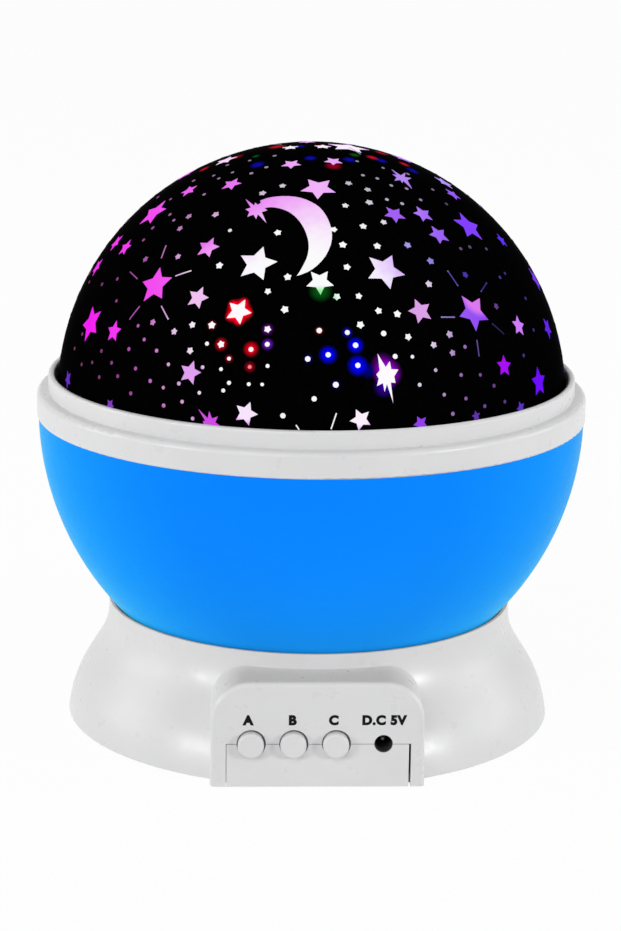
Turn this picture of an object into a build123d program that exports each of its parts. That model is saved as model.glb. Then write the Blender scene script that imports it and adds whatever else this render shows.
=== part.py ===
from build123d import *

import os
from math import cos, pi, radians, sin, sqrt, tan

# Star night light projector. Millimetres, +Z up, the control panel faces -Y.
# The origin is the middle of the footprint, on the surface that the light stands on.

# ---------------------------------------------------------------- shade: dome, collar, rim and bowl
dome_radius = 58.1  # outer radius of the printed dome
dome_wall = 1.2
dome_centre_rise = 3.56  # the sphere's centre above the bowl's top edge
dome_gap = 0.45  # between the dome and the rings around it
dome_flange_thickness = 1.5
dome_flange_clearance = 0.1  # above and below the dome's flange
collar_wall = 1.55
collar_height = 3.95
collar_round = 0.7
rim_step = 2.6  # how far the rim stands out past the collar
rim_wall = 1.6
rim_web = 1.5  # thickness of the rim's inner shelf
rim_height = 5.8
rim_round = 1.2
rim_edge_round = 0.4
rim_overhang = 0.3  # how far the rim stands out past the bowl
spigot_gap = 0.2
spigot_wall = 1.8
spigot_root = 2.0  # depth of the step that joins the spigot to the bowl's wall

bowl_top_height = 71.0
bowl_floor_thickness = 2.2
bowl_floor_margin = 1.5  # floor outside the ring gear's flange
bowl_floor_inset = 0.2  # the floor's square edge stays this far inside the round wall
bowl_wall = 2.0
bowl_centre_rise = 1.0  # centre of the bowl's elliptical section above its top edge

# ---------------------------------------------------------------- base: skirt, neck and deck
base_wall = 2.2
base_edge_height = 0.5  # the shell's lower edge, carried clear of the table by the feet
neck_rise = 5.0  # the neck's lip above the underside of the bowl's floor
neck_gap = 0.45  # between the neck's lip and the turning bowl
neck_lip_wall = 0.6
neck_lip_step = 0.9  # the lip's bore is this much wider than the neck below it
neck_lip_height = 0.6
skirt_flare = 9.45  # how far the foot of the skirt stands out past the neck
skirt_curve_height = 14.9  # height of the skirt curve's two middle control points
skirt_lean = 1.9
neck_waist = 0.6
deck_height = 20.1
deck_thickness = 2.0
wire_hole_radius = 6.0

# ---------------------------------------------------------------- control panel on the front of the base
panel_set_back = 0.2  # the panel's face behind the foot of the skirt
panel_height = 24.2
panel_half_width = 23.3  # at the bottom edge
panel_side_draft = 0.4  # how much narrower each side is at the top
panel_corner = 8.4
panel_edge_round = 1.1
panel_hollow_overlap = 6.5  # how far the panel's hollow runs into the hollow inside the skirt
panel_upper_half_width = 14.5  # hollow above the deck's underside
parting_height = 10.3  # the cover's front tab meets the shell here
parting_gap = 0.15
tab_half_width = 19.75
tab_left_gap = 0.12
tab_right_gap = 0.45

button_places = {"a": -14.4, "b": -5.2, "c": 4.0}
button_radius = 2.85
button_gap = 0.3
button_sag = 0.12  # a cap hangs this much low and to the left in its hole
button_stand_out = 1.6
button_round = 0.6
button_flange_step = 1.15  # the flange that keeps the button in is this much wider
button_flange_thickness = 1.2
button_flange_gap = 0.3
button_stem_radius = 2.0
switch_size = 6.0
switch_depth = 3.5
switch_round = 0.5
switch_plunger_radius = 1.75
switch_plunger_gap = 0.08
switch_plunger_reach = 1.5  # how far the plunger stands out of its switch
switch_plunger_hold = 0.5  # how far it reaches into its switch
switch_plunger_well = 2.0

dc_place = 14.2
dc_hole_radius = 2.0
dc_jack_width = 8.0
dc_jack_height = 9.0
dc_jack_gap = 0.2  # between the jack and the panel's inner face
dc_bore_radius = 1.8
dc_bore_depth = 7.0
dc_pin_radius = 0.55
dc_pin_recess = 0.8  # the pin's tip behind the jack's face

board_room = 8.7  # between the panel's inner face and the main board
board_thickness = 1.6
board_half_width = 18.6
board_low = 3.2
board_high = 17.5
board_post_radius = 1.8
board_post_height = 15.6
board_post_places = [-9.8, 8.2]

# ---------------------------------------------------------------- bottom cover, battery bay and door
cover_thickness = 2.0
cover_gap = 0.4
foot_radius = 3.7
foot_recess = 0.5
foot_gap = 0.05
foot_places = [(-25.0, -42.2), (25.0, -42.2), (-25.0, 42.2), (25.0, 42.2)]
boss_places = [(-30.0, -33.0), (30.0, -33.0), (-34.0, 28.0), (34.0, 28.0)]
boss_radius = 3.5
boss_foot_height = 6.0  # where the shell's bosses end and the cover's cups begin
cup_radius = 4.5
cup_gap = 0.1
cup_bore_depth = 3.3
base_screw_radius = 1.3
base_screw_head_radius = 2.4
base_screw_head_height = 1.6
base_screw_length = 9.0

battery_radius = 5.1
battery_length = 43.3
battery_round = 0.4
battery_nub_radius = 1.9
battery_nub_length = 0.9
battery_gap = 0.8  # between neighbouring cells
battery_count = 4
battery_rise = 0.9  # under the cells, above the door
bay_front = -12.6
bay_end_room = 6.2  # room for the contacts and springs beyond a cell
bay_side_room = 0.3
bay_ceiling_room = 0.6
bay_wall = 1.8
bay_roof = 1.2
contact_thickness = 0.4
contact_size = 8.0
contact_gap = 0.1
spring_radius = 2.6
spring_wire_radius = 0.3
spring_turns = 4
spring_gap = 0.15

door_ledge = 1.0
door_gap = 0.3
door_edge_round = 0.3  # on the opening's front edge, which the door tilts about
door_thickness = 1.8
door_ear_half_width = 5.2
door_ear_reach = 5.6
door_screw_inset = 2.5  # from the ear's end to the screw
door_screw_radius = 1.0
door_screw_head_radius = 2.0
door_screw_head_height = 0.8
door_screw_length = 6.0
door_boss_radius = 3.0
door_boss_height = 9.5
door_boss_roof = 1.2
door_boss_bore_gap = 0.3
door_hook_places = [-11.0, 11.0]
door_hook_width = 4.0
door_hook_gap = 0.3
door_hook_thickness = 1.2
door_hook_reach = 1.9
door_slot_height = 4.0

# ---------------------------------------------------------------- drive: motor, gears and bearing
gear_module = 1.0
ring_teeth = 64
drive_teeth = 10
ring_addendum = 0.6
drive_addendum = 0.7
gear_dedendum = 1.1
gear_backlash = 0.25
flank_angle = 20.0
tooth_root_overlap = 0.2  # each tooth starts this deep in its gear's body
ring_gear_wall = 1.8
ring_gear_flange_thickness = 2.0
ring_gear_flange_width = 3.6  # on the bowl's floor, outside its bore
ring_gear_drop = 3.4  # the toothed ring's length below its flange
ring_gear_bore_gap = 0.4
ring_screw_count = 6
ring_screw_inset = 1.7  # from the bowl's bore to the screws
ring_screw_radius = 0.85
ring_screw_head_radius = 1.45
ring_screw_head_height = 0.9
ring_screw_length = 3.6
drive_gear_length = 4.4
drive_gear_drop = 0.4  # the gear's top below the ring gear's top
shaft_radius = 1.5
shaft_bore_gap = 0.02
shaft_running_gap = 0.06
shaft_hold = 1.0  # how far the shaft reaches into the gearbox
shaft_tip = 0.2
shaft_deck_gap = 0.7
bearing_bore_step = 0.9  # the bearing ring's bore is this much wider than the bowl's
bearing_edge_step = 1.0  # the bearing ring ends this far inside the edge of the bowl's floor
bearing_height = 2.1
bearing_gap = 0.3

gearbox_size = (17.4, 21.0, 11.4)
gearbox_front = -8.0
gearbox_side_gap = 0.6
gearbox_deck_gap = 0.2
gearbox_round = 1.5
gearbox_ear_radius = 3.0
gearbox_ear_thickness = 2.0
gearbox_ear_inset = 6.5  # screw centre from the gearbox's outer side
gearbox_ear_reach = 2.4
motor_radius = 6.0
motor_length = 14.3
motor_gap = 0.2
motor_flat = 5.0
motor_shift = 0.3  # the motor's axis outside the middle of its gearbox
motor_top_gap = 0.6  # between the motor and the height of the gearbox's top
motor_rear_boss_radius = 2.2
motor_rear_boss_length = 1.0
motor_screw_radius = 1.0
motor_screw_head_radius = 1.9
motor_screw_head_height = 1.2
motor_screw_length = 3.8

# ---------------------------------------------------------------- hub and light tower
hub_tip_gap = 1.8  # between the hub and the ring gear's teeth
hub_wall = 2.0
hub_boss_radius = 3.2
hub_boss_inset = 3.0
hub_pocket_gap = 0.8  # around the drive gear
hub_screw_angles = [45, 135, 225, 315]
hub_screw_radius = 1.1
hub_screw_head_radius = 2.0
hub_screw_head_height = 1.2
hub_screw_length = 6.0
tower_screw_angles = [90, 180, 270]
tower_screw_length = 6.5
tower_flange_thickness = 2.0
tower_flange_gap = 0.3  # above the ring gear
tower_flange_overlap = 1.8  # how far the flange reaches over the ring gear's flange
tower_foot_radius = 20.0
tower_head_radius = 17.5
tower_wall = 1.6
tower_head_height = 76.5
tower_head_thickness = 1.6
tower_wire_hole_radius = 4.0
standoff_height = 2.0
standoff_radius = 2.6
led_board_radius = 20.0
led_board_thickness = 1.6
led_circle = 13.0
led_angles = {"white": 20, "green": 80, "red": 200, "blue": 310}
led_radius = 2.5
led_flange_radius = 2.9
led_flange_height = 1.0
led_body_height = 6.1
led_screw_circle = 16.2
led_screw_angles = [140, 255, 350]
led_screw_length = 5.0
resistor_circle = 7.5
resistor_size = (3.2, 1.6, 0.6)

# ---------------------------------------------------------------- small parts and wires
thread_gap = 0.05
hole_gap = 0.3
recess_width = 0.5
recess_share = 1.5  # the cross recess's length in head radii
recess_depth = 0.5
chip_size = (5.0, 1.5, 4.0)
chip_place = (-6.5, 10.5)
capacitor_radius = 2.5
capacitor_length = 5.4
capacitor_place = (9.0, 8.0)
wire_radius = 0.55
wire_end_gap = 0.15
lead_height = 8.0  # where the motor's and the batteries' wires leave the main board
led_wire_places = [-1.5, 1.5]
led_wire_run = 12.0  # straight run behind the main board
led_wire_bay_gap = 4.0  # in front of the battery bay, where these wires climb over it
led_wire_bends = [4.0, 3.0, 1.2]
motor_wire_starts = [14.2, 16.6]
motor_wire_turns = [3.4, 5.2]  # how far in front of the terminals each wire turns
motor_wire_terminals = [-4.7, -3.0]  # from the motor's axis
motor_wire_run = 8.0
motor_wire_bends = [3.0, 3.0, 1.5]
battery_wire_starts = [-16.4, -13.0]
battery_wire_ends = [-19.0, -14.6]
battery_wire_run = 12.0
battery_wire_slope = 8.0  # length over which these wires drop to the cells' height
battery_wire_bends = [4.0, 4.0]

# ---------------------------------------------------------------- sizes that follow from the ones above
rim_top_height = bowl_top_height + rim_height
dome_centre_height = bowl_top_height + dome_centre_rise
ring_bore_radius = dome_radius + dome_gap
collar_radius = ring_bore_radius + collar_wall
rim_radius = collar_radius + rim_step
rim_bore_radius = rim_radius - rim_wall
rim_web_height = rim_top_height - rim_web
dome_flange_top = rim_web_height - dome_flange_clearance
dome_flange_low = dome_flange_top - dome_flange_thickness
spigot_top = dome_flange_low - dome_flange_clearance
spigot_radius = rim_bore_radius - spigot_gap

ring_pitch_radius = gear_module * ring_teeth / 2
drive_pitch_radius = gear_module * drive_teeth / 2
drive_place = (ring_pitch_radius - drive_pitch_radius, 0)
ring_tip_radius = ring_pitch_radius - ring_addendum
ring_root_radius = ring_pitch_radius + gear_dedendum
ring_outer_radius = ring_root_radius + ring_gear_wall
bowl_bore_radius = ring_outer_radius + ring_gear_bore_gap
ring_gear_flange_radius = bowl_bore_radius + ring_gear_flange_width
ring_screw_circle = bowl_bore_radius + ring_screw_inset

bowl_floor_radius = ring_gear_flange_radius + bowl_floor_margin
bowl_floor_height = deck_height + bearing_height + bearing_gap
bearing_inner_radius = bowl_bore_radius + bearing_bore_step
bearing_outer_radius = bowl_floor_radius - bearing_edge_step
neck_height = bowl_floor_height + neck_rise
bowl_radius = rim_radius - rim_overhang
bowl_centre_height = bowl_top_height + bowl_centre_rise
bowl_depth = (bowl_centre_height - bowl_floor_height) / sqrt(1 - (bowl_floor_radius / bowl_radius) ** 2)
bowl_radius_at_neck = bowl_radius * sqrt(1 - ((bowl_centre_height - neck_height) / bowl_depth) ** 2)

neck_lip_radius = bowl_radius_at_neck + neck_gap
neck_radius = neck_lip_radius + neck_lip_wall
neck_bore_radius = neck_lip_radius - neck_lip_step
skirt_radius = neck_radius + skirt_flare
deck_low = deck_height - deck_thickness
panel_front = skirt_radius - panel_set_back
panel_inside = panel_front - base_wall
panel_inner_reach = neck_bore_radius - panel_hollow_overlap
board_front = panel_inside - board_room
board_back = board_front - board_thickness

cover_radius = skirt_radius - base_wall - cover_gap
cover_top = base_edge_height + cover_thickness
door_top = base_edge_height + door_thickness
battery_height = door_top + battery_rise + battery_radius
battery_pitch = 2 * battery_radius + battery_gap
bay_half_width = battery_pitch * (battery_count - 1) / 2 + battery_radius + bay_side_room
bay_back = bay_front + battery_length + battery_nub_length + bay_end_room
bay_ceiling = battery_height + battery_radius + bay_ceiling_room
door_opening_half_width = bay_half_width + door_ledge
door_opening_front = bay_front - door_ledge
door_opening_back = bay_back + door_ledge
door_front = door_opening_front + door_gap
door_back = door_opening_back - door_gap
door_screw_place = (0, door_back + door_ear_reach - door_screw_inset)

ring_flange_low = bowl_floor_height + bowl_floor_thickness
ring_flange_top = ring_flange_low + ring_gear_flange_thickness
drive_gear_top = ring_flange_top - drive_gear_drop
shaft_low = deck_low - gearbox_deck_gap - shaft_hold
shaft_top = drive_gear_top + shaft_tip

gearbox_top = deck_low - gearbox_deck_gap
gearbox_inner_side = bay_half_width + bay_wall + gearbox_side_gap
gearbox_centre = (gearbox_inner_side + gearbox_size[0] / 2, gearbox_front + gearbox_size[1] / 2)
gearbox_back = gearbox_front + gearbox_size[1]
gearbox_ear_x = gearbox_inner_side + gearbox_size[0] - gearbox_ear_inset
motor_screw_places = [(gearbox_ear_x, gearbox_back + gearbox_ear_reach)]
motor_x = gearbox_centre[0] + motor_shift
motor_height = gearbox_top - motor_radius - motor_top_gap

hub_top = ring_flange_top + tower_flange_gap
hub_radius = ring_tip_radius - hub_tip_gap
hub_screw_circle = hub_radius - hub_boss_inset
tower_flange_radius = ring_root_radius + tower_flange_overlap
tower_flange_top = hub_top + tower_flange_thickness
led_board_low = tower_head_height + standoff_height
led_board_top = led_board_low + led_board_thickness

os.makedirs("parts", exist_ok=True)


def save(piece, label):
    """Label a finished piece and write it under its own name."""
    piece.part.label = label
    export_step(piece.part, f"parts/{label}.step")


def on_circle(radius, angles):
    """Points on a circle about the axis, at angles in degrees from +X."""
    return [(radius * cos(radians(angle)), radius * sin(radians(angle))) for angle in angles]


def columns(places, radius, low, high, mode=Mode.ADD):
    """Round posts, or round holes with Mode.SUBTRACT, between two heights of the part being built."""
    with BuildSketch(Plane.XY.offset(low)) as section:
        with Locations(*places):
            Circle(radius)
    extrude(section.sketch, amount=high - low, mode=mode)


def block(x_low, x_high, y_low, y_high, low, high, mode=Mode.ADD):
    """A straight block between two heights of the part being built."""
    with BuildSketch(Plane.XY.offset(low)) as section:
        with Locations(((x_low + x_high) / 2, (y_low + y_high) / 2)):
            Rectangle(x_high - x_low, y_high - y_low)
    extrude(section.sketch, amount=high - low, mode=mode)


def rods(places, radius, front, back, mode=Mode.ADD):
    """Round rods or holes along Y. Places are (x, z); front and back are distances towards -Y."""
    with BuildSketch(Plane.XZ.offset(back)) as section:
        with Locations(*places):
            Circle(radius)
    extrude(section.sketch, amount=front - back, mode=mode)


def turned(points, mode=Mode.ADD):
    """A ring or disc turned about the axis from (radius, height) points."""
    with BuildSketch(Plane.XZ) as section:
        with BuildLine():
            Polyline(*points, close=True)
        make_face()
    revolve(section.sketch, axis=Axis.Z, mode=mode)


def screw_group(label, seat, places, head_radius, head_height, shank_radius, length, way=1):
    """Cross-head screws that sit on one plane. way is 1 for heads along the plane's normal, else -1."""
    with BuildPart() as screws:
        with BuildSketch(seat):
            with Locations(*places):
                Circle(head_radius)
        extrude(amount=way * head_height)
        with BuildSketch(seat.offset(way * head_height)):
            with Locations(*places):
                Rectangle(recess_share * head_radius, recess_width)
                Rectangle(recess_width, recess_share * head_radius)
        extrude(amount=-way * recess_depth, mode=Mode.SUBTRACT)
        with BuildSketch(seat):
            with Locations(*places):
                Circle(shank_radius)
        extrude(amount=-way * length)
    save(screws, label)


def tooth(pitch_radius, root_radius, tip_radius):
    """Corners of one straight-flanked tooth that points from its root to its tip along +X."""
    half_at_pitch = pi * gear_module / 4 - gear_backlash / 2
    slope = tan(radians(flank_angle))
    root_half = half_at_pitch + abs(root_radius - pitch_radius) * slope
    tip_half = half_at_pitch - abs(tip_radius - pitch_radius) * slope
    return [
        (root_radius, -root_half),
        (tip_radius, -tip_half),
        (tip_radius, tip_half),
        (root_radius, root_half),
    ]


def wire_group(label, routes):
    """Insulated wires that follow lists of (x, y, z) points, each bend with its own radius."""
    with BuildPart() as wires:
        for points, bends in routes:
            with BuildLine() as path:
                FilletPolyline(*points, radius=bends)
            with BuildSketch(Plane(origin=path.line @ 0, z_dir=path.line % 0)):
                Circle(wire_radius)
            sweep(path=path.line)
    save(wires, label)


# ================================================================ base shell: skirt, neck, deck and panel
panel_corners = [
    (-panel_half_width, base_edge_height),
    (panel_half_width, base_edge_height),
    (panel_half_width - panel_side_draft, panel_height),
    (-panel_half_width + panel_side_draft, panel_height),
]
panel_slope = panel_side_draft / (panel_height - base_edge_height)
panel_inner_low = panel_half_width - base_wall
panel_inner_high = panel_inner_low - panel_slope * (deck_low - base_edge_height)

with BuildPart() as base_shell:
    with BuildSketch(Plane.XZ):
        with BuildLine():
            Line((0, base_edge_height), (skirt_radius, base_edge_height))
            Bezier(
                (skirt_radius, base_edge_height),
                (skirt_radius - skirt_lean, skirt_curve_height),
                (neck_radius - neck_waist, skirt_curve_height),
                (neck_radius, neck_height),
            )
            Polyline((neck_radius, neck_height), (0, neck_height), (0, base_edge_height))
        make_face()
    revolve(axis=Axis.Z)
    block(-skirt_radius, skirt_radius, -skirt_radius, -panel_front, 0, neck_height, mode=Mode.SUBTRACT)

    # The panel's block, drafted at the sides and round at its top corners.
    with BuildSketch(Plane.XZ.offset(panel_front)) as panel_outline:
        Polygon(*panel_corners, align=None)
        fillet(panel_outline.vertices().group_by(Axis.Y)[-1], radius=panel_corner)
    extrude(amount=-(panel_front - panel_inner_reach))
    panel_face = base_shell.faces().sort_by(Axis.Y)[0]
    fillet(panel_face.edges().sort_by(Axis.Z)[1:], radius=panel_edge_round)

    # The well that the bowl turns in, with its wider lip.
    turned(
        [
            (0, deck_height),
            (neck_bore_radius, deck_height),
            (neck_bore_radius, neck_height - neck_lip_height - neck_lip_step),
            (neck_lip_radius, neck_height - neck_lip_height),
            (neck_lip_radius, bowl_top_height),
            (0, bowl_top_height),
        ],
        mode=Mode.SUBTRACT,
    )

    # The hollow below the deck, inside the skirt.
    with BuildSketch(Plane.XZ):
        with BuildLine():
            Line((0, base_edge_height), (skirt_radius - base_wall, base_edge_height))
            Bezier(
                (skirt_radius - base_wall, base_edge_height),
                (skirt_radius - skirt_lean - base_wall, skirt_curve_height),
                (neck_radius - neck_waist - base_wall, skirt_curve_height),
                (neck_radius - base_wall, neck_height),
            )
            Polyline((neck_radius - base_wall, neck_height), (0, neck_height), (0, base_edge_height))
        make_face()
        Rectangle(skirt_radius, deck_low, align=(Align.MIN, Align.MIN), mode=Mode.INTERSECT)
    revolve(axis=Axis.Z, mode=Mode.SUBTRACT)

    # The panel's own hollow, below the deck and above it.
    with BuildSketch(Plane.XZ.offset(panel_inside)):
        Polygon(
            (-panel_inner_low, base_edge_height),
            (panel_inner_low, base_edge_height),
            (panel_inner_high, deck_low),
            (-panel_inner_high, deck_low),
            align=None,
        )
    extrude(amount=-(panel_inside - panel_inner_reach), mode=Mode.SUBTRACT)
    block(
        -panel_upper_half_width,
        panel_upper_half_width,
        -panel_inside,
        -neck_radius - base_wall,
        deck_low,
        panel_height - base_wall,
        mode=Mode.SUBTRACT,
    )

    # The opening for the cover's tab, and the holes that lie half in each.
    block(
        -tab_half_width - tab_left_gap,
        tab_half_width + tab_right_gap,
        -panel_front,
        -panel_inside,
        base_edge_height,
        parting_height,
        mode=Mode.SUBTRACT,
    )
    button_centres = [(x, parting_height) for x in button_places.values()]
    rods(button_centres, button_radius + button_gap, panel_front, panel_inside, mode=Mode.SUBTRACT)
    rods([(dc_place, parting_height)], dc_hole_radius, panel_front, panel_inside, mode=Mode.SUBTRACT)

    # Bosses for the base screws and posts for the main board, each with its thread hole.
    columns(boss_places, boss_radius, boss_foot_height, deck_low)
    columns(
        boss_places,
        base_screw_radius + thread_gap,
        boss_foot_height,
        boss_foot_height + base_screw_length,
        mode=Mode.SUBTRACT,
    )
    board_posts = [(x, board_post_height) for x in board_post_places]
    rods(board_posts, board_post_radius, panel_inside, board_front)
    rods(board_posts, motor_screw_radius + thread_gap, panel_inside, board_front, mode=Mode.SUBTRACT)

    # Holes in the deck: wires, drive shaft, hub screws and gearbox screw.
    columns([(0, 0)], wire_hole_radius, deck_low, deck_height, mode=Mode.SUBTRACT)
    columns([drive_place], shaft_radius + shaft_deck_gap, deck_low, deck_height, mode=Mode.SUBTRACT)
    columns(
        on_circle(hub_screw_circle, hub_screw_angles),
        hub_screw_radius + hole_gap,
        deck_low,
        deck_height,
        mode=Mode.SUBTRACT,
    )
    columns(
        motor_screw_places,
        motor_screw_radius + thread_gap,
        deck_low,
        deck_height,
        mode=Mode.SUBTRACT,
    )
save(base_shell, "base_shell")

# ================================================================ bottom cover, feet, screws and battery door
bay_outer_half_width = bay_half_width + bay_wall
door_ear_end = door_back + door_ear_reach

with BuildPart() as bottom_cover:
    # The plate: a disc with a front extension that closes the panel's block.
    with BuildSketch(Plane.XY.offset(base_edge_height)):
        Circle(cover_radius)
        with Locations((0, -panel_inner_reach)):
            Rectangle(
                2 * (panel_inner_low - cover_gap),
                panel_inside - cover_gap - panel_inner_reach,
                align=(Align.CENTER, Align.MAX),
            )
            Rectangle(
                2 * tab_half_width,
                panel_front - panel_inner_reach,
                align=(Align.CENTER, Align.MAX),
            )
    extrude(amount=cover_thickness)

    # The upright tab that is the lower half of the panel's face.
    block(
        -tab_half_width,
        tab_half_width,
        -panel_front,
        -panel_inside,
        base_edge_height,
        parting_height - parting_gap,
    )
    rods(button_centres, button_radius + button_gap, panel_front, panel_inside, mode=Mode.SUBTRACT)
    rods([(dc_place, parting_height)], dc_hole_radius, panel_front, panel_inside, mode=Mode.SUBTRACT)

    # The battery bay, open below, and the boss for the door's screw behind it.
    block(
        -bay_outer_half_width,
        bay_outer_half_width,
        bay_front - bay_wall,
        bay_back + bay_wall,
        base_edge_height,
        bay_ceiling + bay_roof,
    )
    columns([door_screw_place], door_boss_radius, cover_top, door_boss_height)
    block(
        -bay_half_width,
        bay_half_width,
        bay_front,
        bay_back,
        base_edge_height,
        bay_ceiling,
        mode=Mode.SUBTRACT,
    )
    block(
        -door_opening_half_width,
        door_opening_half_width,
        door_opening_front,
        door_opening_back,
        base_edge_height,
        cover_top,
        mode=Mode.SUBTRACT,
    )
    block(
        -door_ear_half_width - door_gap,
        door_ear_half_width + door_gap,
        bay_back,
        door_ear_end + door_gap,
        base_edge_height,
        cover_top,
        mode=Mode.SUBTRACT,
    )
    low_edges = bottom_cover.edges().filter_by(Axis.X).group_by(Axis.Z)[0]
    tilt_edge = low_edges.sort_by_distance((0, door_opening_front, base_edge_height))[0]
    fillet(tilt_edge, radius=door_edge_round)
    columns(
        [door_screw_place],
        door_screw_radius + door_boss_bore_gap,
        cover_top,
        door_boss_height - door_boss_roof,
        mode=Mode.SUBTRACT,
    )
    for hook_x in door_hook_places:
        block(
            hook_x - door_hook_width / 2 - door_hook_gap,
            hook_x + door_hook_width / 2 + door_hook_gap,
            bay_front - bay_wall,
            bay_front,
            cover_top,
            cover_top + door_slot_height,
            mode=Mode.SUBTRACT,
        )

    # Cups under the shell's bosses, and shallow seats for the feet.
    columns(boss_places, cup_radius, base_edge_height, boss_foot_height - cup_gap)
    columns(
        boss_places,
        base_screw_radius + hole_gap,
        base_edge_height,
        boss_foot_height - cup_gap,
        mode=Mode.SUBTRACT,
    )
    columns(
        boss_places,
        base_screw_head_radius + hole_gap,
        base_edge_height,
        base_edge_height + cup_bore_depth,
        mode=Mode.SUBTRACT,
    )
    columns(
        foot_places,
        foot_radius + foot_gap,
        base_edge_height,
        base_edge_height + foot_recess,
        mode=Mode.SUBTRACT,
    )
save(bottom_cover, "bottom_cover")

with BuildPart() as rubber_feet:
    columns(foot_places, foot_radius, 0, base_edge_height + foot_recess)
    fillet(rubber_feet.edges().group_by(Axis.Z)[0], radius=base_edge_height / 2)
save(rubber_feet, "rubber_feet")

screw_group(
    "base_screws",
    Plane.XY.offset(base_edge_height + cup_bore_depth),
    boss_places,
    base_screw_head_radius,
    base_screw_head_height,
    base_screw_radius,
    base_screw_length,
    way=-1,
)

with BuildPart() as battery_door:
    block(
        door_gap - door_opening_half_width,
        door_opening_half_width - door_gap,
        door_front,
        door_back,
        base_edge_height,
        door_top,
    )
    block(-door_ear_half_width, door_ear_half_width, door_back, door_ear_end, base_edge_height, door_top)
    columns(
        [door_screw_place],
        door_screw_radius + thread_gap,
        base_edge_height,
        door_top,
        mode=Mode.SUBTRACT,
    )
    columns(
        [door_screw_place],
        door_screw_head_radius + thread_gap,
        base_edge_height,
        base_edge_height + door_screw_head_height + thread_gap,
        mode=Mode.SUBTRACT,
    )
    # Two hooks that hold the door's front edge over the cover's plate.
    hook_low = cover_top + door_hook_gap
    for hook_x in door_hook_places:
        hook_left = hook_x - door_hook_width / 2
        hook_right = hook_x + door_hook_width / 2
        hook_back = door_front + door_hook_thickness
        block(hook_left, hook_right, door_front, hook_back, door_top, hook_low + door_hook_thickness)
        block(
            hook_left,
            hook_right,
            door_front - door_hook_reach,
            hook_back,
            hook_low,
            hook_low + door_hook_thickness,
        )
save(battery_door, "battery_door")

screw_group(
    "battery_door_screw",
    Plane.XY.offset(base_edge_height + door_screw_head_height),
    [door_screw_place],
    door_screw_head_radius,
    door_screw_head_height - thread_gap,
    door_screw_radius,
    door_screw_length,
    way=-1,
)

# ================================================================ batteries, contacts and springs
# Neighbouring cells point opposite ways: each has its flat end on a spring and its nub on a plain contact.
battery_xs = [battery_pitch * (index - (battery_count - 1) / 2) for index in range(battery_count)]
nub_end = bay_front + contact_thickness + contact_gap
spring_end = bay_back - contact_thickness

for index, battery_x in enumerate(battery_xs):
    nub_ways = 1 if index % 2 == 0 else -1
    bay_middle = (bay_front + bay_back) / 2
    body_start = nub_ways * (nub_end + battery_nub_length - bay_middle) + bay_middle
    with BuildPart() as battery:
        with BuildSketch(Plane.XZ.offset(-body_start)):
            with Locations((battery_x, battery_height)):
                Circle(battery_radius)
        extrude(amount=-nub_ways * battery_length)
        fillet(battery.edges(), radius=battery_round)
        with BuildSketch(Plane.XZ.offset(-body_start)):
            with Locations((battery_x, battery_height)):
                Circle(battery_nub_radius)
        extrude(amount=nub_ways * battery_nub_length)
    save(battery, f"battery_{index + 1}")

with BuildPart() as battery_contacts:
    for battery_x in battery_xs:
        for contact_start in (bay_front, bay_back - contact_thickness):
            block(
                battery_x - contact_size / 2,
                battery_x + contact_size / 2,
                contact_start,
                contact_start + contact_thickness,
                battery_height - contact_size / 2,
                battery_height + contact_size / 2,
            )
save(battery_contacts, "battery_contacts")

spring_length = spring_end - (nub_end + battery_nub_length + battery_length) - 2 * spring_gap
with BuildPart() as battery_springs:
    for index, battery_x in enumerate(battery_xs):
        nub_ways = 1 if index % 2 == 0 else -1
        spring_seat = spring_end if nub_ways == 1 else bay_front + contact_thickness
        spring_base = spring_seat - nub_ways * (spring_gap + spring_wire_radius)
        with BuildLine() as coil:
            Helix(
                (spring_length - 2 * spring_wire_radius) / spring_turns,
                spring_length - 2 * spring_wire_radius,
                spring_radius,
                center=(battery_x, spring_base, battery_height),
                direction=(0, -nub_ways, 0),
            )
        with BuildSketch(Plane(origin=coil.line @ 0, z_dir=coil.line % 0)):
            Circle(spring_wire_radius)
        sweep(path=coil.line, is_frenet=True)
save(battery_springs, "battery_springs")

# ================================================================ main board, switches, buttons and jack
with BuildPart() as main_board:
    block(-board_half_width, board_half_width, -board_front, -board_back, board_low, board_high)
    rods(board_posts, motor_screw_radius + hole_gap, board_front, board_back, mode=Mode.SUBTRACT)
save(main_board, "main_board")

screw_group(
    "main_board_screws",
    Plane.XZ.offset(board_back),
    board_posts,
    motor_screw_head_radius,
    motor_screw_head_height,
    motor_screw_radius,
    -(board_thickness + motor_screw_length),
    way=-1,
)

with BuildPart() as board_parts:
    chip_x, chip_z = chip_place
    block(
        chip_x - chip_size[0] / 2,
        chip_x + chip_size[0] / 2,
        -board_back,
        -board_back + chip_size[1],
        chip_z - chip_size[2] / 2,
        chip_z + chip_size[2] / 2,
    )
    rods([capacitor_place], capacitor_radius, board_back, board_back - capacitor_length)
save(board_parts, "board_parts")

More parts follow.
